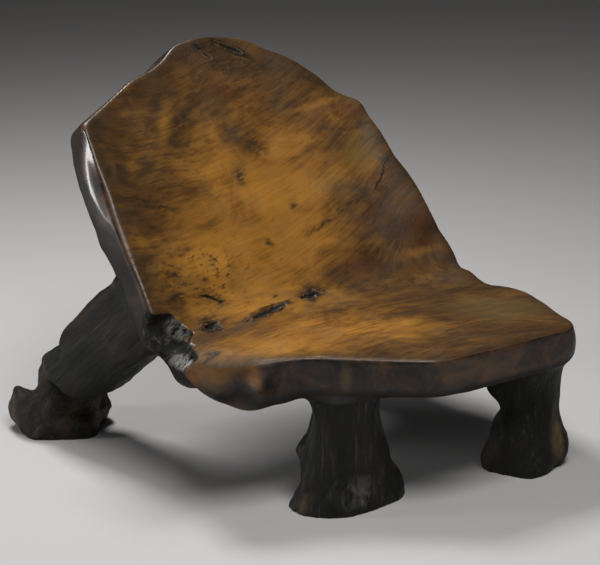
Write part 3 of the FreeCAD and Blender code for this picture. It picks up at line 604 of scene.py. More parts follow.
def note_slab(piece):
    """Place on the slab; where it is rubbed, pitted or broken; where it is hewn or turns downwards, painted
    near black as hewn wood and as painted shade; and how far in from the rim.
    """
    spots = places(piece)
    side, run, depth, _ = slab_places(spots)
    note(piece, "place", "FLOAT_VECTOR", np.stack((side, run, depth), axis=1))
    angle = np.arctan2(side, spots[:, 1] - AXIS[1])
    upward = np.full(len(spots), math.sin(LEAN))
    back_facing = (-np.sin(angle) * math.cos(LEAN), -np.cos(angle) * math.cos(LEAN), upward)
    back_facing = np.stack(back_facing, axis=1)
    blend = smooth_step(-0.05, 0.05, run)[:, None]
    facing = (1 - blend) * np.array((0, 0, 1)) + blend * back_facing
    facing = facing / np.linalg.norm(facing, axis=1)[:, None]
    square = (normals(piece) * facing).sum(axis=1)
    polish = smooth_step(0.3, 0.95, square) * smooth_step(0.045, 0.02, depth)
    broken = np.maximum(smooth_step(0.004, 0.009, depth), 1 - polish)
    bulge = 1 - 0.8 * round_spot(spots, NOSE, NOSE_REACH)
    # Deep under the face (the back's rear, the seat's underside) and wherever the surface turns downwards:
    # the finish paints these near black, as hewn wood and as painted shade under the seat.
    hewn_and_shaded = np.maximum(smooth_step(HEWN_FROM, HEWN_FULL, depth), smooth_step(0.0, -0.5, square))
    note(piece, "polish", "FLOAT", polish)
    note(piece, "hewn_and_shaded", "FLOAT", hewn_and_shaded * bulge)
    note(piece, "pit", "FLOAT", pits(spots))
    note(piece, "broken", "FLOAT", round_spot(spots, BROKEN_SPOT, TORN_REACH) * broken)
    clear_of_fold = (abs(run) > 0.035) | (abs(side) > 0.27)
    edge = np.nonzero((polish < 0.35) & (depth < 0.04) & clear_of_fold)[0][::3]
    tree = KDTree(len(edge))
    for row in edge:
        tree.insert(spots[row], int(row))
    tree.balance()
    on_face = polish > 0.3
    rim = [tree.find(spot)[2] if rubbed else 0 for spot, rubbed in zip(spots, on_face)]
    note(piece, "rim", "FLOAT", rim)


def note_leg(piece, along):
    """Place on a leg, with the third axis along it."""
    turn = Vector(along).rotation_difference(Vector((0, 0, 1))).to_matrix()
    note(piece, "place", "FLOAT_VECTOR", places(piece) @ np.array(turn, np.float32).T)


def settle(piece, node):
    """Rides the finished piece on the frame in place of its node."""
    piece.name = f"carved_{node}"
    only(piece)
    bpy.ops.object.shade_smooth_by_angle(angle=math.radians(SHARP_ANGLE))
    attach(piece, "root")
    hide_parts(node)


def clad(piece, name, make):
    """Gives a piece one material, made the first time it is asked for."""
    piece.data.materials.clear()
    piece.data.materials.append(bpy.data.materials.get(name) or make())


def finish_leg(leg, node, along):
    """Notes how a leg's fibres run, rides it on the frame and blackens it."""
    note_leg(leg, along)
    settle(leg, node)
    clad(leg, "root_finish", root_wood)


class ROUGH_OT_log(bpy.types.Operator):
    """The whole chair as one rough form, joined from the timbers, with the cove at the fold"""

    bl_idname = "chair.rough_log"
    bl_label = "Rough log"

    def execute(self, context):
        bpy.ops.object.select_all(action="DESELECT")
        copies = []
        for node in frame["nodes"].values():
            copy = node.copy()
            copy.data = node.data.copy()
            copy.parent = None
            context.scene.collection.objects.link(copy)
            copies.append(copy)
        for _, spot, size in ANKLES:
            bpy.ops.mesh.primitive_ico_sphere_add(subdivisions=3, radius=1, location=spot, scale=size)
            copies.append(context.object)
        spun("cove", self.cove_profile(context.scene.chair_sizes.cove_reach), *COVE_ARC)
        for copy in copies:
            copy.select_set(True)
        bpy.ops.object.join()
        log = context.object
        log.name = "log"
        bpy.ops.mesh.customdata_custom_splitnormals_clear()
        edit_all(lambda: bpy.ops.mesh.remove_doubles(threshold=1e-5))
        log.data.materials.clear()
        log.data.remesh_voxel_size = context.scene.chair_sizes.carving_step
        bpy.ops.object.voxel_remesh()
        self.drop_islands(log)
        self.soften(log)
        self.shape(log)
        self.weather(log)
        return {"FINISHED"}

    def cove_profile(self, reach):
        """Corners of the filler that rounds the fold, as radius and height."""
        end = FOLD_RADIUS - reach
        buried = SEAT_TOP - COVE_BURIED
        top = (FOLD_RADIUS + reach * math.sin(LEAN), SEAT_TOP + reach * math.cos(LEAN))
        corners = [(end, buried), (FOLD_RADIUS + COVE_BURIED / 2, buried)]
        corners += [(top[0] + COVE_BURIED, top[1]), top]
        for step in range(1, COVE_STEPS):
            t = step / COVE_STEPS
            radius = (1 - t) ** 2 * top[0] + 2 * t * (1 - t) * FOLD_RADIUS + t * t * end
            height = (1 - t) ** 2 * top[1] + 2 * t * (1 - t) * SEAT_TOP + t * t * SEAT_TOP
            corners.append((radius, height))
        corners.append((end, SEAT_TOP))
        return corners

    def drop_islands(self, log):
        """Keeps only the outer shell."""
        spots = places(log)
        top = np.zeros(len(spots), bool)
        top[spots[:, 2].argmax()] = True
        pick(log, top)
        bpy.ops.mesh.select_linked()
        bpy.ops.mesh.select_all(action="INVERT")
        bpy.ops.mesh.delete(type="VERT")
        bpy.ops.object.mode_set(mode="OBJECT")

    def soften(self, log):
        """Rounds the inner corners at the leg tops, hips and nose, and evens out the steps of the remesh."""
        finish_with(log, "SMOOTH", factor=0.5, iterations=6)
        spots = places(log)
        _, run, depth, on_seat = slab_places(spots)
        tops = np.exp(-((spots[:, 2] - SEAT_UNDER) / 0.022) ** 2) * (run < -0.12)
        hips = np.exp(-((depth - THICKNESS) / 0.03) ** 2) * (run > -0.03) * (run < 0.2) * ~on_seat
        ease(log, np.maximum(tops, hips), 0.6, 50)
        ease_spots(log, EARLY_EASES)

    def shape(self, log):
        """Pulls the outlines, bellies the back's right edge, breaks the corner and evens out the wall."""
        for _, spot, move, reach in OUTLINE_PULLS + FRONT_LEG_PULLS + REAR_LEG_PULLS:
            soft_move(log, near(log, spot), move, reach)
        side, run, depth, on_seat = slab_places(places(log))
        belly = (side < -0.335) & (run > 0.20) & (run < 0.31) & (abs(depth - 0.04) < 0.005) & ~on_seat
        soft_move(log, belly, (-bpy.context.scene.chair_sizes.edge_belly, 0, 0), 0.042)
        for _, spot, size, turn in BREAKS:
            self.break_out(log, spot, size, turn)
        only(log)
        bpy.ops.object.voxel_remesh()
        self.drop_islands(log)
        finish_with(log, "SMOOTH", factor=0.5, iterations=2)
        spots = places(log)
        side, run, depth, _ = slab_places(spots)
        whole = 1 - round_spot(spots, BROKEN_SPOT, SPARED_REACH)
        wall = smooth_step(-0.26, -0.30, side) * smooth_step(-0.002, 0.010, depth)
        wall *= smooth_step(0.02, 0.06, run)
        wall *= smooth_step(0.075, 0.065, depth) * whole
        ease(log, wall, 0.5, 32)
        self.even_wall(log)
        ease(log, wall, 0.5, 24)
        ease_spots(log, LATE_EASES)

    def even_wall(self, log):
        """Brings the back's right wall to one sweep, a cubic along the wall and a parabola across it."""
        spots = places(log)
        side, run, depth, _ = slab_places(spots)
        weights = smooth_step(-0.26, -0.29, side) * smooth_step(0.08, 0.14, run)
        weights *= smooth_step(0.5, 0.8, -normals(log)[:, 0])
        weights *= 1 - round_spot(spots, BROKEN_SPOT, SPARED_REACH)
        terms = np.stack([run ** i * depth ** j for i in range(4) for j in range(3)], axis=1).astype(float)
        on_wall = weights > 0.5
        sweep = np.linalg.lstsq(terms[on_wall], side[on_wall], rcond=None)[0]
        shift(log, weights * (terms @ sweep - side), 0.015)

    def break_out(self, log, spot, size, turn):
        """Breaks a flat-sided piece out of the corner."""
        angles = [math.radians(angle) for angle in turn]
        bpy.ops.mesh.primitive_ico_sphere_add(
            subdivisions=1, radius=1, location=spot, rotation=angles, scale=size
        )
        chip = bpy.context.object
        finish_with(log, "BOOLEAN", object=chip, operation="DIFFERENCE", solver="MANIFOLD")
        bpy.data.objects.remove(chip)

    def weather(self, log):
        """Waves and tool marks on the slabs, splits and voids, splinters, and the legs' fibres and chips."""
        sizes = bpy.context.scene.chair_sizes
        spots = places(log)
        side, run, depth, on_seat = slab_places(spots)
        slab = (spots[:, 2] > SEAT_UNDER - 0.01) & (depth < THICKNESS + 0.01)
        face = smooth_step(0.014, 0.004, depth) * slab
        hidden = smooth_step(HEWN_FROM, HEWN_FULL, depth) * slab
        broken = round_spot(spots, BROKEN_SPOT, SPLINTER_REACH)
        calm = 1 - 0.7 * smooth_step(-0.27, -0.31, side) * smooth_step(0.1, 0.2, run) * slab
        roughen(log, calm, 0.11, sizes.waviness, 1)
        roughen(log, hidden, 0.03, sizes.hewn_depth, 2, stretch=(2.5, 1, 1))
        roughen(log, face, 0.07, sizes.face_ripple, 0, stretch=(1.6, 1, 1))
        roughen(log, broken, 0.012, sizes.break_depth, 2, stretch=(3, 1, 1))
        sink(log, pits(places(log)), PIT_DEPTH)
        below = smooth_step(SEAT_UNDER - 0.008, SEAT_UNDER - 0.05, spots[:, 2]) * (run < -0.05)
        behind = smooth_step(THICKNESS + 0.01, THICKNESS + 0.05, depth) * (run > -0.02) * ~on_seat
        foot = smooth_step(0.11, 0.04, spots[:, 2])
        lean = Vector(REAR_GRAIN).to_track_quat("Z", "Y").to_euler()
        for leg, turn in ((below, (0, 0, 0)), (behind, lean)):
            fibrous = leg * (1 - 0.7 * smooth_step(0.1, 0.16, spots[:, 0]) * (run < -0.05))
            roughen(log, leg, 0.035, sizes.lump_depth, 2, stretch=(1, 1, 2.2), turn=turn)
            roughen(log, fibrous, 0.014, sizes.fibre_depth, 2, stretch=(1, 1, 9), turn=turn)
            roughen(log, leg * foot, 0.03, sizes.chip_depth, 3, stretch=(1, 1, 1.6), turn=turn)
        spots = places(log)
        chipped = round_spot(spots, CHIP, CHIP_REACH) * smooth_step(0.004, 0.022, spots[:, 2])
        sink(log, chipped, CHIP_SINK)
        pick(log, places(log)[:, 2] < 0.001)
        bpy.ops.transform.resize(value=(1, 1, 0), center_override=(0, 0, 0))
        bpy.ops.object.mode_set(mode="OBJECT")


class FRONT_OT_legs(bpy.types.Operator):
    """The two front legs, cut off under the seat"""

    bl_idname = "chair.front_legs"
    bl_label = "Front legs"

    def execute(self, context):
        log = bpy.data.objects["log"]
        cut = SEAT_UNDER - CUT_GAP
        for node in FRONT_LEGS:
            low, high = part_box(node)
            bpy.ops.mesh.primitive_cone_add(
                vertices=4,
                radius1=FRONT_CUT_RADII[0],
                radius2=FRONT_CUT_RADII[1],
                depth=cut + BELOW_FLOOR,
                location=((low[0] + high[0]) / 2, (low[1] + high[1]) / 2, cut / 2 - BELOW_FLOOR / 2),
                rotation=(0, 0, math.radians(45)),
            )
            finish_leg(split_off(log, context.object, node), node, (0, 0, 1))
        return {"FINISHED"}


class REAR_OT_legs(bpy.types.Operator):
    """The two rear legs, cut off behind the back"""

    bl_idname = "chair.rear_legs"
    bl_label = "Rear legs"

    def execute(self, context):
        log = bpy.data.objects["log"]
        behind = THICKNESS + CUT_GAP
        away = FOLD_RADIUS + REAR_CUT_RISE * math.sin(LEAN) + behind * math.cos(LEAN)
        height = SEAT_TOP + REAR_CUT_RISE * math.cos(LEAN) - behind * math.sin(LEAN)
        centre = Matrix.Translation((*AXIS, 0))
        tilt = Matrix.Rotation(math.radians(90) - LEAN, 4, "X")
        for node, splay in zip(REAR_LEGS, REAR_SPLAYS):
            bpy.ops.mesh.primitive_cube_add(size=1)
            cutter = context.object
            turn = Matrix.Rotation(math.radians(splay), 4, "Z")
            cutter.data.transform(Matrix.Translation((0, 0, -0.5)))
            cutter.data.transform(Matrix.Diagonal((*REAR_CUT_SIZE, 1)))
            cutter.data.transform(centre @ turn @ Matrix.Translation((0, away, height)) @ tilt)
            finish_leg(split_off(log, cutter, node), node, turn.to_3x3() @ Vector(REAR_GRAIN))
        return {"FINISHED"}


class SLABS_OT_cut(bpy.types.Operator):
    """The seat and the back, parted on the mitre at the fold"""

    bl_idname = "chair.slabs"
    bl_label = "Seat and back"

    def execute(self, context):
        log = bpy.data.objects["log"]
        slope = MITRE_RUN / THICKNESS
        corners = [
            (MITRE_INSIDE, MITRE_LOW),
            (FOLD_RADIUS + (SEAT_TOP - MITRE_LOW) * slope, MITRE_LOW),
            (FOLD_RADIUS + (SEAT_TOP - MITRE_HIGH) * slope, MITRE_HIGH),
            (MITRE_INSIDE, MITRE_HIGH),
        ]
        cutter = spun("mitre", corners, *MITRE_ARC)
        seat = split_off(log, cutter, "seat")
        for piece, node in ((seat, "seat_slab"), (log, "back_slab")):
            note_slab(piece)
            settle(piece, node)
            clad(piece, "rubbed_finish", polished_wood)
        return {"FINISHED"}


# Finishes

class Nodes:
    """Adds nodes to a tree and links what they are given."""

    def __init__(self, tree):
        self.tree = tree

    def feed(self, node, key, value):
        """Links a socket to an input, or sets a constant on it."""
        if isinstance(value, bpy.types.NodeSocket):
            self.tree.links.new(value, node.inputs[key])
        else:
            node.inputs[key].default_value = value

    def add(self, kind, inputs=None, **settings):
        """New node with its settings and inputs."""
        node = self.tree.nodes.new(kind)
        for name, value in settings.items():
            setattr(node, name, value)
        for key, value in (inputs or {}).items():
            self.feed(node, key, value)
        return node

    def group(self, name, make, inputs):
        """Outputs of a node group, which is made the first time it is asked for."""
        tree = bpy.data.node_groups.get(name) or make()
        return self.add("ShaderNodeGroup", inputs, node_tree=tree).outputs

    def calc(self, operation, first, second=0.0, clamp=False):
        """Arithmetic on one or two values."""
        node = self.add("ShaderNodeMath", {0: first, 1: second}, operation=operation, use_clamp=clamp)
        return node.outputs[0]

    def times(self, first, *factors):
        """Product of values."""
        for factor in factors:
            first = self.calc("MULTIPLY", first, factor)
        return first

    def plus(self, first, second, share, clamp=False):
        """One value and a share of another."""
        return self.calc("ADD", first, self.times(second, share), clamp)

    def rest(self, value, clamp=False):
        """What a value leaves of 1."""
        return self.calc("SUBTRACT", 1.0, value, clamp)

    def vector(self, operation, first, second):
        """Arithmetic on two vectors."""
        return self.add("ShaderNodeVectorMath", {0: first, 1: second}, operation=operation).outputs[0]

    def mix(self, share, first, second):
        """Mixes a share of the second colour into the first."""
        node = self.add("ShaderNodeMix", {0: share, 6: first, 7: second}, data_type="RGBA")
        return node.outputs[2]

    def tint(self, share, base, shade):
        """Mixes a share of a plain colour in."""
        return self.mix(share, base, rgba(shade))

    def step(self, value, low, high, least=0.0, most=1.0):
        """Smooth step of a value from low to high, between least and most."""
        inputs = {"Value": value, "From Min": low, "From Max": high, "To Min": least, "To Max": most}
        return self.add("ShaderNodeMapRange", inputs, interpolation_type="SMOOTHSTEP").outputs[0]

    def noise(self, place, scale, stretch=(1, 1, 1), detail=3.0, rough=0.55, warp=0.0):
        """Noise at a place, squeezed by the stretch."""
        scaled = self.vector("MULTIPLY", place, stretch)
        inputs = {"Vector": scaled, "Scale": scale, "Detail": detail, "Roughness": rough, "Distortion": warp}
        return self.add("ShaderNodeTexNoise", inputs).outputs["Fac"]

    def sway(self, place, scale, detail, reach):
        """Random shift of a place, within a reach."""
        inputs = {"Vector": place, "Scale": scale, "Detail": detail}
        noise = self.add("ShaderNodeTexNoise", inputs).outputs["Color"]
        centred = self.vector("SUBTRACT", noise, (0.5, 0.5, 0.5))
        return self.vector("MULTIPLY", centred, (reach, reach, reach))

    def ramp(self, value, *stops):
        """Colour ramp with stops of a place and a colour."""
        node = self.add("ShaderNodeValToRGB", {"Fac": value})
        ramp = node.color_ramp
        while len(ramp.elements) < len(stops):
            ramp.elements.new(0.5)
        for element, (place, shade) in zip(ramp.elements, stops):
            element.position = place
            element.color = rgba(shade)
        return node.outputs["Color"]


def rgba(shade):
    """A colour with full alpha."""
    return (*shade, 1)


def new_group(name, inputs, outputs):
    """Empty shader node group with named sockets, and its Nodes."""
    tree = bpy.data.node_groups.new(name, "ShaderNodeTree")
    for direction, sockets in (("INPUT", inputs), ("OUTPUT", outputs)):
        for label, kind in sockets:
            tree.interface.new_socket(name=label, in_out=direction, socket_type=f"NodeSocket{kind}")
    nodes = Nodes(tree)
    return tree, nodes, nodes.add("NodeGroupInput").outputs, nodes.add("NodeGroupOutput")


def give(nodes, out, **values):
    """Links values to a group's outputs."""
    for label, socket in values.items():
        nodes.tree.links.new(socket, out.inputs[label])


def grain_group():
    """Figure of the trunk's wood: fibres that sweep up over the back and run straight over the seat."""
    labels = ("Figure", "Fibre", "Fine", "Lines", "Flecks", "Specks", "Cloud", "Haze")
    outputs = [(label, "Float") for label in labels] + [("Warped", "Vector")]
    tree, nodes, given, out = new_group("figured grain", [("Place", "Vector")], outputs)
    place = given["Place"]
    parts = nodes.add("ShaderNodeSeparateXYZ", {0: place}).outputs
    on_back = nodes.step(parts["Y"], -0.06, 0.08)
    bend = nodes.times(parts["X"], parts["X"], 0.75)
    sweep = nodes.times(nodes.plus(bend, parts["X"], 0.34), on_back)
    across = nodes.calc("SUBTRACT", parts["Y"], sweep)
    straight = nodes.add("ShaderNodeCombineXYZ", {0: parts["X"], 1: across, 2: parts["Z"]}).outputs[0]
    grain = nodes.vector("ADD", straight, nodes.sway(place, 6.0, 1.0, 0.035))
    contour = nodes.noise(grain, 7.0, (0.8, 9.0, 5.0), 2.0, 0.5, 0.2)
    line = nodes.step(nodes.calc("ABSOLUTE", nodes.calc("SUBTRACT", contour, 0.5)), 0.014, 0.002)
    broken = nodes.step(nodes.noise(grain, 7.0, (1.0, 2.0, 1.0)), 0.50, 0.66)
    give(
        nodes,
        out,
        Figure=nodes.noise(grain, 5.0, (1.0, 3.6, 3.0), 5.0, 0.6, 0.6),
        Fibre=nodes.noise(grain, 22.0, (0.45, 10.0, 6.0), 2.0, 0.5),
        Fine=nodes.noise(grain, 60.0, (0.3, 11.0, 8.0), 2.0, 0.5),
        Lines=nodes.times(line, broken),
        Flecks=nodes.noise(grain, 30.0, (1.0, 2.8, 2.0), 4.0, 0.65),
        Specks=nodes.noise(grain, 75.0, (0.8, 2.2, 2.0), 3.0, 0.6),
        Cloud=nodes.noise(place, 7.5, (1.0, 1.3, 1.0), 6.0, 0.62, 0.7),
        Haze=nodes.noise(place, 13.0, (1.0, 1.3, 1.0), 4.0, 0.6, 0.8),
        Warped=nodes.vector("ADD", place, nodes.sway(place, 42.0, 3.0, 0.022)),
    )
    return tree


def mark_group():
    """One lens-shaped mark on the wood, of a half length and half width, soft at its rim."""
    vectors = [(label, "Vector") for label in ("Place", "Centre", "Size")]
    floats = [(label, "Float") for label in ("Turn", "Core")]
    tree, nodes, given, out = new_group("mark", vectors + floats, [("Mask", "Float")])
    away = nodes.vector("SUBTRACT", given["Place"], given["Centre"])
    inputs = {"Vector": away, "Angle": given["Turn"]}
    turned = nodes.add("ShaderNodeVectorRotate", inputs, rotation_type="Z_AXIS").outputs[0]
    scaled = nodes.vector("DIVIDE", turned, given["Size"])
    reach = nodes.add("ShaderNodeVectorMath", {0: scaled}, operation="LENGTH").outputs["Value"]
    give(nodes, out, Mask=nodes.step(reach, 1.0, given["Core"]))
    return tree


def bark_group():
    """Blackened fibrous root wood: ridges along the leg, dry chips and brown wood showing through."""
    outputs = [(label, "Float") for label in ("Ridges", "Fibre", "Chips", "Brown")]
    tree, nodes, given, out = new_group("root bark", [("Place", "Vector")], outputs)
    place = given["Place"]
    ridges = nodes.noise(place, 75.0, (1.0, 1.0, 0.09), 5.0, 0.65, 0.4)
    fibre = nodes.noise(place, 260.0, (1.0, 1.0, 0.07), 3.0, 0.6)
    chips = nodes.noise(place, 34.0, (1.0, 1.0, 0.6), 5.0, 0.65, 0.6)
    brown = nodes.noise(place, 13.0, (1.0, 1.0, 0.5), 4.0, 0.6, 0.4)
    give(nodes, out, Ridges=ridges, Fibre=fibre, Chips=chips, Brown=brown)
    return tree


def new_material(name):
    """Empty material with its Principled shader, and its Nodes."""
    material = bpy.data.materials.new(name)
    material.use_nodes = True
    nodes = Nodes(material.node_tree)
    return material, nodes, material.node_tree.nodes["Principled BSDF"]


def paint(nodes, shader, **sockets):
    """Sets or links the shader's inputs."""
    for label, value in sockets.items():
        nodes.feed(shader, label.replace("_", " ").title().replace("Ior", "IOR"), value)


def read(nodes, name, output="Fac"):
    """What a point attribute says."""
    return nodes.add("ShaderNodeAttribute", attribute_name=name).outputs[output]


def mark(nodes, place, centre, size, turn, core):
    """Mask of one mark."""
    inputs = {"Place": place, "Centre": centre, "Size": size, "Turn": -math.radians(turn), "Core": core}
    return nodes.group("mark", mark_group, inputs)["Mask"]


def face_mark(nodes, place, side, run, half_length, half_width, turn, core):
    """Mask of one broad mark on the faces."""
    return mark(nodes, place, (side, run, 0), (half_length, half_width, 1), turn, core)


def strongest(nodes, masks):
    """Highest of several masks."""
    most = masks[0]
    for other in masks[1:]:
        most = nodes.calc("MAXIMUM", most, other)
    return most


def stained(nodes, look, base, tones):
    """Lays the marks over the faces, stain by stain."""
    ragged = nodes.step(look["Fibre"], 0.3, 0.6, 0.55, 1.0)
    speckled = nodes.step(look["Specks"], 0.40, 0.58, 0.3, 1.0)
    for kind, strength, core in STAINS:
        masks = []
        for _, stain, side, run, half_length, half_width, turn in MARKS:
            if stain == kind:
                size = (half_length * STAIN_SPREAD[0], half_width * STAIN_SPREAD[1], STAIN_DEPTH)
                masks.append(mark(nodes, look["Warped"], (side, run, 0), size, turn, core))
        share = nodes.times(strongest(nodes, masks), ragged, strength)
        if kind in SPECKLED:
            share = nodes.times(share, speckled)
        base = nodes.tint(share, base, getattr(tones, kind))
    return base


def rubbed_faces(nodes, look, rim, pit, tones):
    """Colour of the rubbed faces: figure, patina that is partly painted shade towards the top and rims, fine
    lines, stains, and pits with painted highlights on their rims.
    """
    tone = nodes.times(look["Figure"], 0.34)
    for name, share in (("Cloud", 0.44), ("Fibre", 0.11), ("Fine", 0.07)):
        tone = nodes.plus(tone, look[name], share)
    stops = ((0.33, tones.shade), (0.39, tones.brown), (0.46, tones.ochre), (0.58, tones.honey))
    base = nodes.ramp(tone, *stops)
    base = nodes.tint(nodes.step(look["Haze"], 0.52, 0.68, 0.0, 0.32), base, tones.olive)
    worn = strongest(nodes, [face_mark(nodes, look["Warped"], *patch, 0.2) for _, *patch in WORN])
    blotch = nodes.times(nodes.calc("SUBTRACT", look["Cloud"], 0.5), 1.2)
    blotch = nodes.plus(blotch, nodes.calc("SUBTRACT", look["Figure"], 0.5), 0.7)
    streaks = nodes.plus(look["Fibre"], look["Fine"], 0.6)
    blotch = nodes.plus(blotch, nodes.calc("SUBTRACT", streaks, 0.8), 0.30)
    rubbed = nodes.plus(blotch, worn, 1.15, clamp=True)
    # Outside the rubbed patches the faces darken towards the top and the rims: dark patina, and partly
    # painted shade towards the top.
    patina_and_shade = nodes.times(nodes.rest(rubbed), 0.84)
    base = nodes.tint(patina_and_shade, base, tones.shade)
    mottled = nodes.times(patina_and_shade, nodes.step(look["Flecks"], 0.47, 0.60), 0.65)
    base = nodes.tint(mottled, base, tones.umber)
    grime = nodes.times(nodes.step(rim, 0.05, 0.004), nodes.rest(worn), 0.45)
    base = nodes.tint(grime, base, tones.umber)
    base = nodes.tint(nodes.step(look["Flecks"], 0.60, 0.72, 0.0, 0.55), base, tones.shade)
    flecked = face_mark(nodes, look["Warped"], *FLECKED, 0.3)
    flecked = nodes.times(flecked, nodes.step(look["Specks"], 0.52, 0.68, 0.0, 0.75))
    base = nodes.tint(flecked, base, tones.umber)
    base = nodes.tint(nodes.times(look["Lines"], 0.38), base, tones.shade)
    base = nodes.tint(nodes.step(look["Fine"], 0.55, 0.75, 0.0, 0.14), base, tones.brown)
    base = stained(nodes, look, base, tones)
    # Pale honey rims round the splits and voids: a painted highlight on their edges.
    lip = nodes.times(nodes.step(pit, 0.01, 0.08), nodes.step(pit, 0.22, 0.10), 0.2)
    base = nodes.tint(lip, base, tones.honey)
    return nodes.tint(nodes.step(pit, 0.10, 0.35), base, tones.pitch)


def dark_walls(nodes, spot, fibre, tones):
    """Colour of the polished walls: dark, with red, brown and orange patches."""
    cloud = nodes.noise(spot, 20.0, (0.8, 0.8, 1.2), 5.0, 0.62, 0.6)
    wall = nodes.ramp(cloud, (0.41, tones.pitch), (0.52, tones.wall), (0.63, tones.wall_red))
    wall = nodes.tint(nodes.step(fibre, 0.55, 0.75, 0.0, 0.3), wall, tones.wall_red)
    for _, tone, centre, size, strength in WALL_MARKS:
        patchy = nodes.step(cloud, 0.3, 0.6, 0.35 * strength, strength)
        share = nodes.times(mark(nodes, spot, centre, size, 0, 0.2), patchy)
        wall = nodes.tint(share, wall, getattr(tones, tone))
    return wall


def torn_wood(nodes, spot, splinter, tones):
    """Colour of the broken corner: dark splinters and dry facets."""
    torn = nodes.ramp(splinter, (0.42, tones.pitch), (0.55, tones.root), (0.68, tones.root_grey))
    dry = strongest(nodes, [mark(nodes, spot, centre, size, 0, 0.45) for centre, size in FACETS])
    return nodes.tint(nodes.times(dry, nodes.step(splinter, 0.40, 0.56)), torn, tones.torn)


def polished_wood():
    """Rubbed honey faces, dark polished walls, an arris band of worn wood and painted highlight, hewn
    undersides painted near black as hewn wood and painted shade, and the broken corner.
    """
    tones = bpy.context.scene.chair_colours
    material, nodes, shader = new_material("rubbed_finish")
    place = read(nodes, "place", "Vector")
    polish = read(nodes, "polish")
    hewn_and_shaded = read(nodes, "hewn_and_shaded")
    pit = read(nodes, "pit")
    broken = read(nodes, "broken")
    look = nodes.group("figured grain", grain_group, {"Place": place})
    spot = nodes.add("ShaderNodeTexCoord").outputs["Object"]

    # Colour: faces and walls, a brown band between them that is worn edge and painted highlight, hewn sides
    # darkened near black as hewn wood and painted shade, and the broken corner
    faces = rubbed_faces(nodes, look, read(nodes, "rim"), pit, tones)
    face = nodes.step(polish, 0.42, 0.72)
    tone = nodes.mix(face, dark_walls(nodes, spot, look["Fibre"], tones), faces)
    # Brown band along the arris: a worn edge, and partly a painted highlight on the dark wall beside it.
    arris = nodes.times(nodes.step(polish, 0.22, 0.5), nodes.step(polish, 0.8, 0.5))
    tone = nodes.tint(nodes.times(arris, 0.45), tone, tones.brown)
    # Near black on the hewn sides, the seat's underside and the downward faces: hewn wood, and painted shade
    # under the seat.
    tone = nodes.tint(hewn_and_shaded, tone, tones.root)
    inputs = {"Vector": spot, "Angle": SPLINTER_SLANT}
    slanted = nodes.add("ShaderNodeVectorRotate", inputs, rotation_type="Y_AXIS").outputs[0]
    splinter = nodes.noise(slanted, 120.0, (0.18, 1.0, 1.0), 5.0, 0.65, 0.4)
    splinters = nodes.times(mark(nodes, spot, *SPLINTERS, 0.4), nodes.step(splinter, 0.48, 0.6))
    snapped = nodes.calc("MAXIMUM", nodes.step(broken, 0.3, 0.6), splinters)
    tone = nodes.mix(snapped, tone, torn_wood(nodes, spot, splinter, tones))

    # Roughness: hazy polish, dull where it is hewn, pitted, broken or low on the walls
    hollow = nodes.step(pit, 0.0, 0.12)
    rough = nodes.plus(nodes.step(look["Haze"], 0.3, 0.7, 0.30, 0.44), hewn_and_shaded, 0.3)
    rough = nodes.plus(rough, arris, nodes.step(look["Haze"], 0.38, 0.58, 0.0, 0.4))
    rough = nodes.plus(rough, nodes.calc("MAXIMUM", hollow, snapped), 0.4, clamp=True)
    run = nodes.add("ShaderNodeSeparateXYZ", {0: place}).outputs["Y"]
    bare = nodes.rest(face)
    rough = nodes.plus(rough, nodes.times(bare, nodes.step(run, 0.22, 0.12)), 0.10)
    matt = mark(nodes, spot, *DULL_NOSE, 0, 0.5)
    rough = nodes.plus(rough, matt, 0.34, clamp=True)

    # Relief: fibres, fine lines and splinters
    height = nodes.plus(nodes.times(look["Fibre"], 0.25), look["Fine"], 0.15)
    height = nodes.calc("SUBTRACT", height, nodes.times(look["Lines"], 0.1))
    height = nodes.plus(height, nodes.times(splinter, snapped), 7.0)
    bump = nodes.add("ShaderNodeBump", {"Height": height, "Strength": 0.4, "Distance": 0.0014})

    # Wax coat, thickest high on the walls
    glossy = nodes.times(bare, nodes.step(run, 0.17, 0.24))
    gloss = nodes.calc("ADD", nodes.times(glossy, 0.5), 0.10)
    smooth = nodes.rest(strongest(nodes, [hewn_and_shaded, broken, matt, hollow]), clamp=True)
    paint(nodes, shader, base_color=tone, roughness=rough, normal=bump.outputs[0])
    paint(nodes, shader, coat_weight=nodes.times(smooth, gloss), coat_roughness=0.13)
    paint(nodes, shader, specular_ior_level=0.38)
    return material


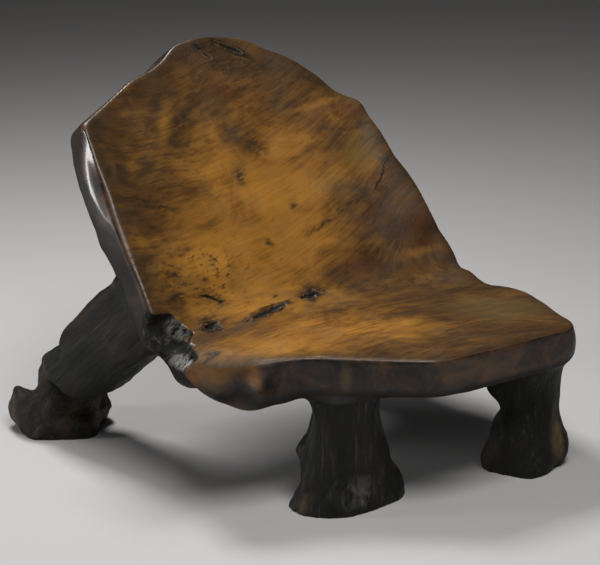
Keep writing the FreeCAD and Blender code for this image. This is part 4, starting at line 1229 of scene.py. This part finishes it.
def root_wood():
    """Blackened fibrous legs."""
    tones = bpy.context.scene.chair_colours
    material, nodes, shader = new_material("root_finish")
    look = nodes.group("root bark", bark_group, {"Place": read(nodes, "place", "Vector")})
    showing = nodes.step(look["Brown"], 0.5, 0.72, 0.0, 0.75)
    base = nodes.tint(showing, rgba(tones.root), tones.root_brown)
    dry = nodes.times(nodes.step(look["Fibre"], 0.5, 0.7), nodes.step(look["Ridges"], 0.45, 0.65), 0.45)
    base = nodes.tint(dry, base, tones.root_grey)
    base = nodes.tint(nodes.step(look["Chips"], 0.62, 0.74, 0.0, 0.5), base, tones.root_grey)
    base = nodes.tint(nodes.step(look["Ridges"], 0.45, 0.3, 0.0, 0.7), base, tones.pitch)
    spot = nodes.add("ShaderNodeTexCoord").outputs["Object"]
    chipped = nodes.step(look["Chips"], 0.4, 0.62)
    for _, tone, centre, size, strength in LEG_MARKS:
        share = nodes.times(mark(nodes, spot, centre, size, 0, 0.3), chipped, strength)
        base = nodes.tint(share, base, getattr(tones, tone))
    rough = nodes.step(look["Ridges"], 0.3, 0.7, 0.70, 0.48)
    height = nodes.plus(look["Ridges"], look["Fibre"], 0.5)
    height = nodes.plus(height, look["Chips"], 0.5)
    bump = nodes.add("ShaderNodeBump", {"Height": height, "Strength": 0.6, "Distance": 0.004})
    paint(nodes, shader, base_color=base, roughness=rough, normal=bump.outputs[0])
    paint(nodes, shader, specular_ior_level=0.24)
    return material


def joint_wood():
    """Plain riven wood of the pegs, tenons and wedges."""
    tones = bpy.context.scene.chair_colours
    material, nodes, shader = new_material("joint_finish")
    place = nodes.add("ShaderNodeTexCoord").outputs["Object"]
    fibre = nodes.noise(place, 160.0, (1.0, 1.0, 0.12), 4.0, 0.6)
    base = nodes.ramp(fibre, (0.3, tones.brown), (0.65, tones.peg))
    bump = nodes.add("ShaderNodeBump", {"Height": fibre, "Strength": 0.3, "Distance": 0.0006})
    rough = nodes.step(fibre, 0.3, 0.7, 0.62, 0.5)
    paint(nodes, shader, base_color=base, roughness=rough, normal=bump.outputs[0])
    return material


def pale_floor():
    """Plain studio floor with a trace of unevenness."""
    tones = bpy.context.scene.chair_colours
    material, nodes, shader = new_material("pale_floor")
    place = nodes.add("ShaderNodeTexCoord").outputs["Object"]
    cloud = nodes.noise(place, 2.0)
    base = nodes.tint(nodes.step(cloud, 0.3, 0.7, 0.0, 0.06), rgba(tones.floor), FLOOR_DUST)
    paint(nodes, shader, base_color=base, roughness=0.75)
    return material


class STAGE_OT_build(bpy.types.Operator):
    """Floor, lights and camera"""

    bl_idname = "chair.stage"
    bl_label = "Stage"

    def execute(self, context):
        scene = context.scene
        scene.view_settings.view_transform = "Standard"
        bpy.ops.mesh.primitive_plane_add(size=FLOOR_SIZE, location=(0, 0, 0))
        floor = context.object
        floor.name = "floor"
        floor.data.materials.append(pale_floor())
        world = bpy.data.worlds.new("soft_room")
        scene.world = world
        world.use_nodes = True
        world.node_tree.nodes["Background"].inputs["Color"].default_value = ROOM_TINT
        world.node_tree.nodes["Background"].inputs["Strength"].default_value = ROOM_STRENGTH
        for lamp in LAMPS:
            self.lamp(*lamp)
        bpy.ops.object.camera_add()
        camera = context.object
        camera.location = CAMERA_SPOT
        camera.rotation_euler = self.aim(CAMERA_SPOT, CAMERA_TARGET)
        camera.data.lens = CAMERA_LENS
        camera.data.sensor_width = SENSOR_WIDTH
        camera.data.sensor_fit = "HORIZONTAL"
        scene.camera = camera
        return {"FINISHED"}

    def aim(self, spot, target):
        """Rotation that looks from a spot at a target."""
        return (Vector(target) - Vector(spot)).to_track_quat("-Z", "Y").to_euler()

    def lamp(self, name, spot, target, size, power):
        """Rectangular lamp that the camera doesn't see."""
        bpy.ops.object.light_add(type="AREA", location=spot)
        light = bpy.context.object
        light.name = name
        light.data.shape = "RECTANGLE"
        light.data.size = size[0]
        light.data.size_y = size[1]
        light.visible_camera = False
        light.data.energy = power
        light.rotation_euler = self.aim(spot, target)


class JOINERY_OT_finish(bpy.types.Operator):
    """Finish of the pegs, loose tenons and wedges, which keep their shape"""

    bl_idname = "chair.joinery"
    bl_label = "Pegs, tenons and wedges"

    def execute(self, context):
        finish = joint_wood()
        for name, node in frame["nodes"].items():
            if name not in SLABS + FRONT_LEGS + REAR_LEGS:
                node.data.materials.clear()
                node.data.materials.append(finish)
        return {"FINISHED"}


class CHAIR_PT_panel(bpy.types.Panel):
    """Sizes, colours and steps of the chair"""

    bl_idname = "CHAIR_PT_panel"
    bl_label = "Carved slab chair"
    bl_space_type = "VIEW_3D"
    bl_region_type = "UI"
    bl_category = "Chair"

    def draw(self, context):
        for group in (context.scene.chair_sizes, context.scene.chair_colours):
            box = self.layout.box()
            for name in group.__annotations__:
                box.prop(group, name)
        for operator in OPERATORS:
            self.layout.operator(operator.bl_idname)


OPERATORS = (ROUGH_OT_log, FRONT_OT_legs, REAR_OT_legs, SLABS_OT_cut, JOINERY_OT_finish, STAGE_OT_build)
CLASSES = (ChairSizes, ChairColours, *OPERATORS, CHAIR_PT_panel)


def register():
    """Adds the classes, and the sizes and colours to the scene."""
    for kind in CLASSES:
        bpy.utils.register_class(kind)
    bpy.types.Scene.chair_sizes = bpy.props.PointerProperty(type=ChairSizes)
    bpy.types.Scene.chair_colours = bpy.props.PointerProperty(type=ChairColours)


def unregister():
    """Takes away what register added."""
    del bpy.types.Scene.chair_colours
    del bpy.types.Scene.chair_sizes
    for kind in reversed(CLASSES):
        bpy.utils.unregister_class(kind)


def main():
    """Builds the chair on its frame."""
    register()
    bpy.ops.chair.rough_log()
    bpy.ops.chair.front_legs()
    bpy.ops.chair.rear_legs()
    bpy.ops.chair.slabs()
    bpy.ops.chair.joinery()
    bpy.ops.chair.stage()


if __name__ == "__main__":
    main()
